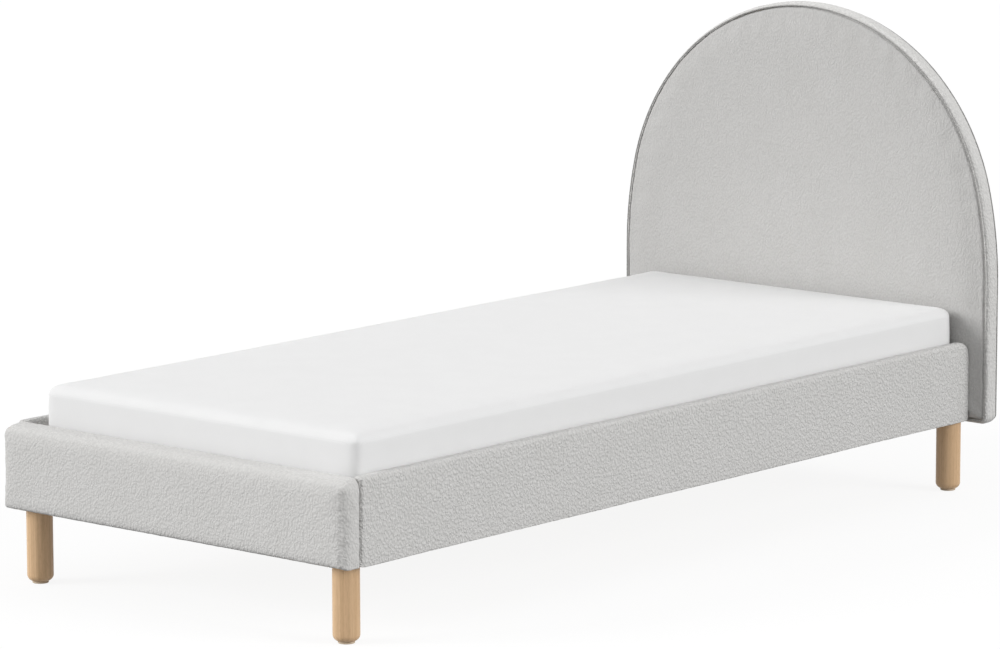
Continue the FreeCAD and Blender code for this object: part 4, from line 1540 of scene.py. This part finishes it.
def revolve(skin: Skin, profile: Array, centre: tuple[float, float], turns: int = 72) -> None:
    """Adds a turned shape: each point of the profile, a radius and a Z, is carried round an upright axis.

    Args:
        skin: the skin that it is added to.
        profile: points of radius and Z.
        centre: X and Y of the axis.
        turns: number of steps round the axis.
    """
    angle = angles_round(turns)
    radius, z = profile[:, :1], np.broadcast_to(profile[:, 1:], (len(profile), turns))
    points = np.stack([centre[0] + radius * np.cos(angle), centre[1] + radius * np.sin(angle), z], axis=-1)
    skin.grid(points, loop_columns=UNLAID)


@dataclass
class Legs:
    """Four turned legs with rounded feet, each on a threaded stud, with a glide below."""

    foot_radius: float = 0.014
    top_ease: float = 0.0012
    stud_radius: float = 0.004
    stud_pitch: float = 0.00125
    stud_depth: float = 0.0006
    glide_ease: float = 0.0012

    def leg(self, end: End, side: Side) -> None:
        """One leg and its stud.

        The leg's profile is a flat sole, a quarter circle at the foot, an upright side and a small
        eased top. The stud's radius falls from its crests by depth · |2 · p - 1|, where p is the part of
        a turn that Z / pitch - angle / 360° is past a whole one.

        Args:
            end: end of the bed.
            side: side of the bed.
        """
        node = f"leg_{end.word}_{side.word}"
        low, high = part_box(node)
        centre = ((low.x + high.x) / 2, (low.y + high.y) / 2)
        radius, top = (high.x - low.x) / 2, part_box(f"corner_block_{end.word}_{side.word}")[0].z
        foot, ease = self.foot_radius, self.top_ease
        profile = np.concatenate([
            [[0.0, low.z], [radius - foot, low.z]],
            arc((radius - foot, low.z + foot), foot, -90, 0, 14)[1:],
            np.column_stack([np.full(11, radius), np.linspace(low.z + foot, top - ease, 12)[1:]]),
            arc((radius - ease, top - ease), ease, 0, 90, 5)[1:], [[0.0, top]]])
        skin = Skin()
        revolve(skin, profile, centre, 96)
        dress(skin.build(node + "_turned"), OAK, Body.FRAME, node)
        z = np.arange(top, high.z, self.stud_pitch / 6)[:, None]
        angle = angles_round(32)[None]
        phase = (z / self.stud_pitch - angle / (2 * math.pi)) % 1.0
        around = self.stud_radius - self.stud_depth * np.abs(2 * phase - 1)
        stud = Skin()
        points = np.stack(np.broadcast_arrays(centre[0] + around * np.cos(angle),
                                              centre[1] + around * np.sin(angle), z), axis=-1)
        stud.grid(points, loop_columns=UNLAID)
        for row in (0, -1):
            stud.fan(points[row])
        dress(stud.build(f"leg_stud_{end.word}_{side.word}"), ZINC, Body.FRAME, node)

    def glides(self) -> None:
        """Four glides in one piece, turned with an eased sole."""
        skin = Skin()
        low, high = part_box("glides")
        ease = self.glide_ease
        radius = high.x - abs(middle_of("leg_rear_right").x)
        profile = np.concatenate([[[0.0, low.z], [radius - ease, low.z]],
                                  arc((radius - ease, low.z + ease), ease, -90, 0, 6)[1:],
                                  [[radius, high.z], [0.0, high.z]]])
        for end, side in itertools.product(End, Side):
            revolve(skin, profile, middle_of(f"leg_{end.word}_{side.word}").xy, 48)
        dress(skin.build("leg_glides"), GLIDE, Body.FRAME, "glides")

    def build(self) -> None:
        """Makes the legs, the studs and the glides."""
        for end, side in itertools.product(End, Side):
            self.leg(end, side)
        self.glides()


@dataclass
class SlatBase:
    """Slats on two ledges, spaced by two webbing straps."""

    nodes: dict[str, bpy.types.Object]
    ledge_ease: float = 0.0015
    slat_ease: float = 0.003
    sag: float = 0.0015
    strap_rows: int = 420
    staple_spread: float = 0.018
    staple_depth: float = 0.0003

    def slats(self) -> list[str]:
        """Names of the slats from the footboard on."""
        return [f"slat_{number:02d}" for number in range(1, SLATS + 1)]

    def strap(self, side: Side) -> None:
        """Webbing strap that sags a little between the slats.

        Its section is a flattened round: width · |cos a|^0.25 by thickness · |sin a|^0.6. The sag is
        depth · sin²(π · s), where s runs from 0 to 1 from one slat to the next.

        Args:
            side: side of the bed.
        """
        node = f"slat_strap_{side.word}"
        low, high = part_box(node)
        first, last = (middle_of(name).y for name in (self.slats()[0], self.slats()[-1]))
        pitch = (last - first) / (SLATS - 1)
        y = np.linspace(low.y, high.y, self.strap_rows)
        sag = self.sag * np.sin(math.pi * np.clip((y - first) / pitch, 0, SLATS - 1)) ** 2
        angle = angles_round(24)
        width, thick = (high.x - low.x) / 2, (high.z - low.z) / 2
        x = width * np.sign(np.cos(angle)) * np.abs(np.cos(angle)) ** 0.25
        z = thick * np.sign(np.sin(angle)) * np.abs(np.sin(angle)) ** 0.6
        middle = middle_of(node)
        height = middle.z + z[None] - sag[:, None]
        points = np.stack(np.broadcast_arrays(middle.x + x[None], y[:, None], height), axis=-1)
        cloth = np.stack(np.broadcast_arrays(x[None], y[:, None]), axis=-1)
        skin = Skin()
        skin.grid(points, cloth, loop_columns=UNLAID)
        for row in (0, -1):
            skin.fan(points[row], cloth[row])
        dress(skin.build(node + "_webbing"), WEBBING, Body.FRAME, node)

    def staples(self) -> None:
        """Staples that hold the straps to the slats, two at each crossing."""
        places = []
        for side in Side:
            x, z = middle_of(f"slat_strap_{side.word}").x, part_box(f"slat_strap_{side.word}")[0].z
            for name in self.slats():
                places += [(x, middle_of(name).y + shift, z - self.staple_depth)
                           for shift in (-self.staple_spread, self.staple_spread)]
        scatter_staples("strap_staples", np.array(places), Axis.X, Axis.Z)

    def build(self) -> None:
        """Makes the straps and dresses the slats and ledges."""
        for side in Side:
            self.strap(side)
            paint(self.nodes[f"slat_ledge_{side.word}"], PINE_ALONG, self.ledge_ease)
        for name in self.slats():
            paint(self.nodes[name], PINE_ACROSS, self.slat_ease)
        self.staples()


def scatter_staples(name: str, places: Array, along: Axis, out: Axis) -> None:
    """One piece of many staples: each a thin bar with rounded ends, standing just proud of the cloth.

    Along the bar, where t runs from -1 to 1, its width and height taper by √(1 - t⁸).

    Args:
        name: name of the piece.
        places: middle of each staple, rows of 3.
        along: axis that the staples run along.
        out: axis that they stand out along.
    """
    across = next(axis for axis in Axis if axis not in (along, out))
    t = np.linspace(-1, 1, 7)[:, None]
    angle = angles_round(6)[None]
    taper = np.sqrt(1 - np.abs(t) ** 8)
    half_length, half_width, half_height = STAPLE
    bar = np.zeros((7, 6, 3))
    bar[..., along.value] = half_length * t
    bar[..., across.value] = half_width * taper * np.cos(angle)
    bar[..., out.value] = half_height * taper * np.sin(angle)
    skin = Skin()
    skin.grid(bar, loop_columns=UNLAID)
    dress(skin.copies(places).build(name), ZINC, Body.FRAME)


@dataclass
class Joinery:
    """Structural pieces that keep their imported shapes: boards, blocks, bolts and nuts, with small screws."""

    nodes: dict[str, bpy.types.Object]
    block_ease: float = 0.0012
    head_radius: float = 0.0045
    head_dome: float = 0.0002
    head_skirt: float = 0.0005
    cross_width: float = 0.0014
    cross_reach: float = 0.0028
    cross_depth: float = 0.0016
    screws_a_side: int = 8
    screw_margin: float = 0.13
    staple_pitch: float = 0.045
    staple_ends: tuple[float, float] = (0.12, 0.10)
    staple_margin: float = 0.024
    staple_depth: float = 0.0003

    def screws(self) -> None:
        """Countersunk screw heads on the ledges: a domed disc with a cross recess.

        On a polar grid the surface stands dome + dome · (1 - (r / radius)²) high, and sinks to the
        recess where a point lies within half the cross's width of either of its lines.
        """
        radius = np.array([0.0, 0.0009, 0.0013, 0.0026, 0.0030, 0.0041, self.head_radius])[:, None]
        u, v = radius * np.cos(angles_round(32)), radius * np.sin(angles_round(32))
        cross = (np.minimum(np.abs(u), np.abs(v)) < self.cross_width / 2) & (radius < self.cross_reach)
        dome = self.head_dome * (1 - (radius / self.head_radius) ** 2)
        height = np.where(cross, -self.cross_depth, self.head_dome) + dome
        height[-1] = -self.head_skirt
        for side in Side:
            low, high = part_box(f"slat_ledge_{side.word}")
            face = low.x if side is Side.RIGHT else high.x
            head = np.stack([-side.value * height, u, v + (low.z + high.z) / 2], axis=-1)
            skin = Skin()
            skin.grid(head, loop_columns=UNLAID)
            back = head[-1] + (side.value * 0.001, 0, 0)
            skin.grid(np.stack([head[-1], back]), loop_columns=UNLAID)
            skin.fan(back)
            y = np.linspace(low.y + self.screw_margin, high.y - self.screw_margin, self.screws_a_side)
            places = np.column_stack([np.full(len(y), face), y, np.zeros(len(y))])
            dress(skin.copies(places).build(f"ledge_screws_{side.word}"), ZINC, Body.FRAME)

    def cover_staples(self) -> None:
        """Staples along the raw edges of the rail covers, inside the bed."""
        places = []
        start, end = self.staple_ends
        for side in Side:
            low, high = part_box(f"rail_cover_{side.word}")
            face = (low.x if side is Side.RIGHT else high.x) - side.value * self.staple_depth
            for z in (low.z + self.staple_margin, high.z - self.staple_margin):
                places += [(face, y, z) for y in np.arange(low.y + start, high.y - end, self.staple_pitch)]
        scatter_staples("cover_staples", np.array(places), Axis.Y, Axis.X)

    def build(self) -> None:
        """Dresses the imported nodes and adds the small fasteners."""
        for side in Side:
            paint(self.nodes[f"rail_board_{side.word}"], PLY_SIDE)
            for end in End:
                paint(self.nodes[f"corner_block_{end.word}_{side.word}"], PINE_UPRIGHT, self.block_ease)
        for name in ("footboard_core", "headboard_panel"):
            paint(self.nodes[name], PLY_END)
        for end in ("footboard", "headboard"):
            paint(self.nodes[f"{end}_bolts"], ZINC)
            paint(self.nodes[f"{end}_insert_nuts"], BRASS)
        self.screws()
        self.cover_staples()


@dataclass
class Studio:
    """Camera, soft lights and a seamless pale floor."""

    azimuth: float = 40.612
    elevation: float = 9.607
    roll: float = -0.120
    distance: float = 11.169
    lens: float = 187.06
    target: tuple[float, float, float] = (-0.028, -0.0106, 0.455)
    light_elevation: float = 21
    light_spread: float = 30
    light_distance: float = 6.0
    key: tuple[float, float] = (-40, 2.30)
    fill: tuple[float, float] = (108, 1.71)
    sky: float = 0.61
    ground: float = 0.26
    horizon: float = 0.35
    floor_flat: float = 40
    floor_bend: float = 60

    def towards(self, azimuth: float, elevation: float) -> Vector:
        """Unit vector from the bed at an azimuth, 0 in front of the footboard, and an elevation."""
        a, e = math.radians(azimuth), math.radians(elevation)
        return Vector((math.sin(a) * math.cos(e), -math.cos(a) * math.cos(e), math.sin(e)))

    def camera(self) -> None:
        """Camera at the given bearing, rolled about its own axis."""
        back = self.towards(self.azimuth, self.elevation)
        right = (-back).cross(Vector((0, 0, 1))).normalized()
        up = right.cross(-back)
        c, s = math.cos(math.radians(self.roll)), math.sin(math.radians(self.roll))
        right, up = right * c + up * s, up * c - right * s
        lens = bpy.data.cameras.new("camera")
        lens.lens, lens.sensor_width, lens.clip_end = self.lens, 36.0, 200.0
        camera = shown("camera", lens)
        camera.matrix_world = Matrix((right, up, back)).transposed().to_4x4()
        camera.location = Vector(self.target) + back * self.distance
        bpy.context.scene.camera = camera

    def wall_of_light(self, name: str, azimuth: float, strength: float) -> None:
        """Broad, even light from far away, as from a wall of softboxes.

        Args:
            name: name of the light.
            azimuth: bearing in degrees.
            strength: light on a surface that faces it, in watts a square metre.
        """
        data = bpy.data.lights.new(name, "SUN")
        data.energy, data.angle = strength, math.radians(self.light_spread)
        light = shown(name, data)
        bearing = self.towards(azimuth, self.light_elevation)
        light.location = Vector(self.target) + bearing * self.light_distance
        light.rotation_euler = bearing.to_track_quat("Z", "Y").to_euler()

    def floor(self) -> None:
        """Round floor, wide enough to pass for endless, that rises by (r - flat)² / bend at its rim."""
        radius = np.array([0.0, 1.0, 2.0, 4.0, 8.0, 16.0, 30.0, 45.0, 55.0, 60.0])
        rise = np.where(radius > self.floor_flat, (radius - self.floor_flat) ** 2 / self.floor_bend, 0.0)
        skin = Skin()
        revolve(skin, np.column_stack([radius, rise]), (0.0, 0.0), 96)
        floor = skin.build("floor", inside=np.array([0.0, 0.0, -5.0]))
        floor.data.materials.append(StudioFloor("studio_floor", "floor").material())
        floor.visible_diffuse = False

    def sky_light(self) -> None:
        """White surroundings that pass smoothly from the ground's strength to the sky's at the horizon."""
        world = bpy.data.worlds.new("studio")
        world.use_nodes = True
        tree = world.node_tree
        background = next(n for n in tree.nodes if n.type == "BACKGROUND")
        bearing = tree.nodes.new("ShaderNodeTexCoord")
        height = tree.nodes.new("ShaderNodeSeparateXYZ")
        share = tree.nodes.new("ShaderNodeMapRange")
        share.interpolation_type = "SMOOTHSTEP"
        for name, value in (("From Min", -self.horizon), ("From Max", self.horizon),
                            ("To Min", self.ground), ("To Max", self.sky)):
            share.inputs[name].default_value = value
        tree.links.new(bearing.outputs["Generated"], height.inputs[0])
        tree.links.new(height.outputs["Z"], share.inputs["Value"])
        tree.links.new(share.outputs["Result"], background.inputs["Strength"])
        background.inputs["Color"].default_value = (*WHITE, 1.0)
        bpy.context.scene.world = world

    def build(self) -> None:
        """Sets up the whole studio."""
        self.camera()
        self.floor()
        self.wall_of_light("key", *self.key)
        self.wall_of_light("fill", *self.fill)
        self.sky_light()
        bpy.context.scene.view_settings.view_transform = "Standard"


def main(frame: dict) -> None:
    """Dresses the bed in order: upholstery, mattress, legs, slat base, joinery and studio.
    """
    logging.basicConfig(level=logging.INFO, format="%(name)s: %(message)s")
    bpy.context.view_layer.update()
    nodes = frame["nodes"]
    for part in (Headboard(), Footboard(), SideRail(Side.LEFT), SideRail(Side.RIGHT), Mattress(), Legs(),
                 SlatBase(nodes), Joinery(nodes), Studio()):
        log.info("building %s", type(part).__name__)
        part.build()


if __name__ == "__main__":
    main(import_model())
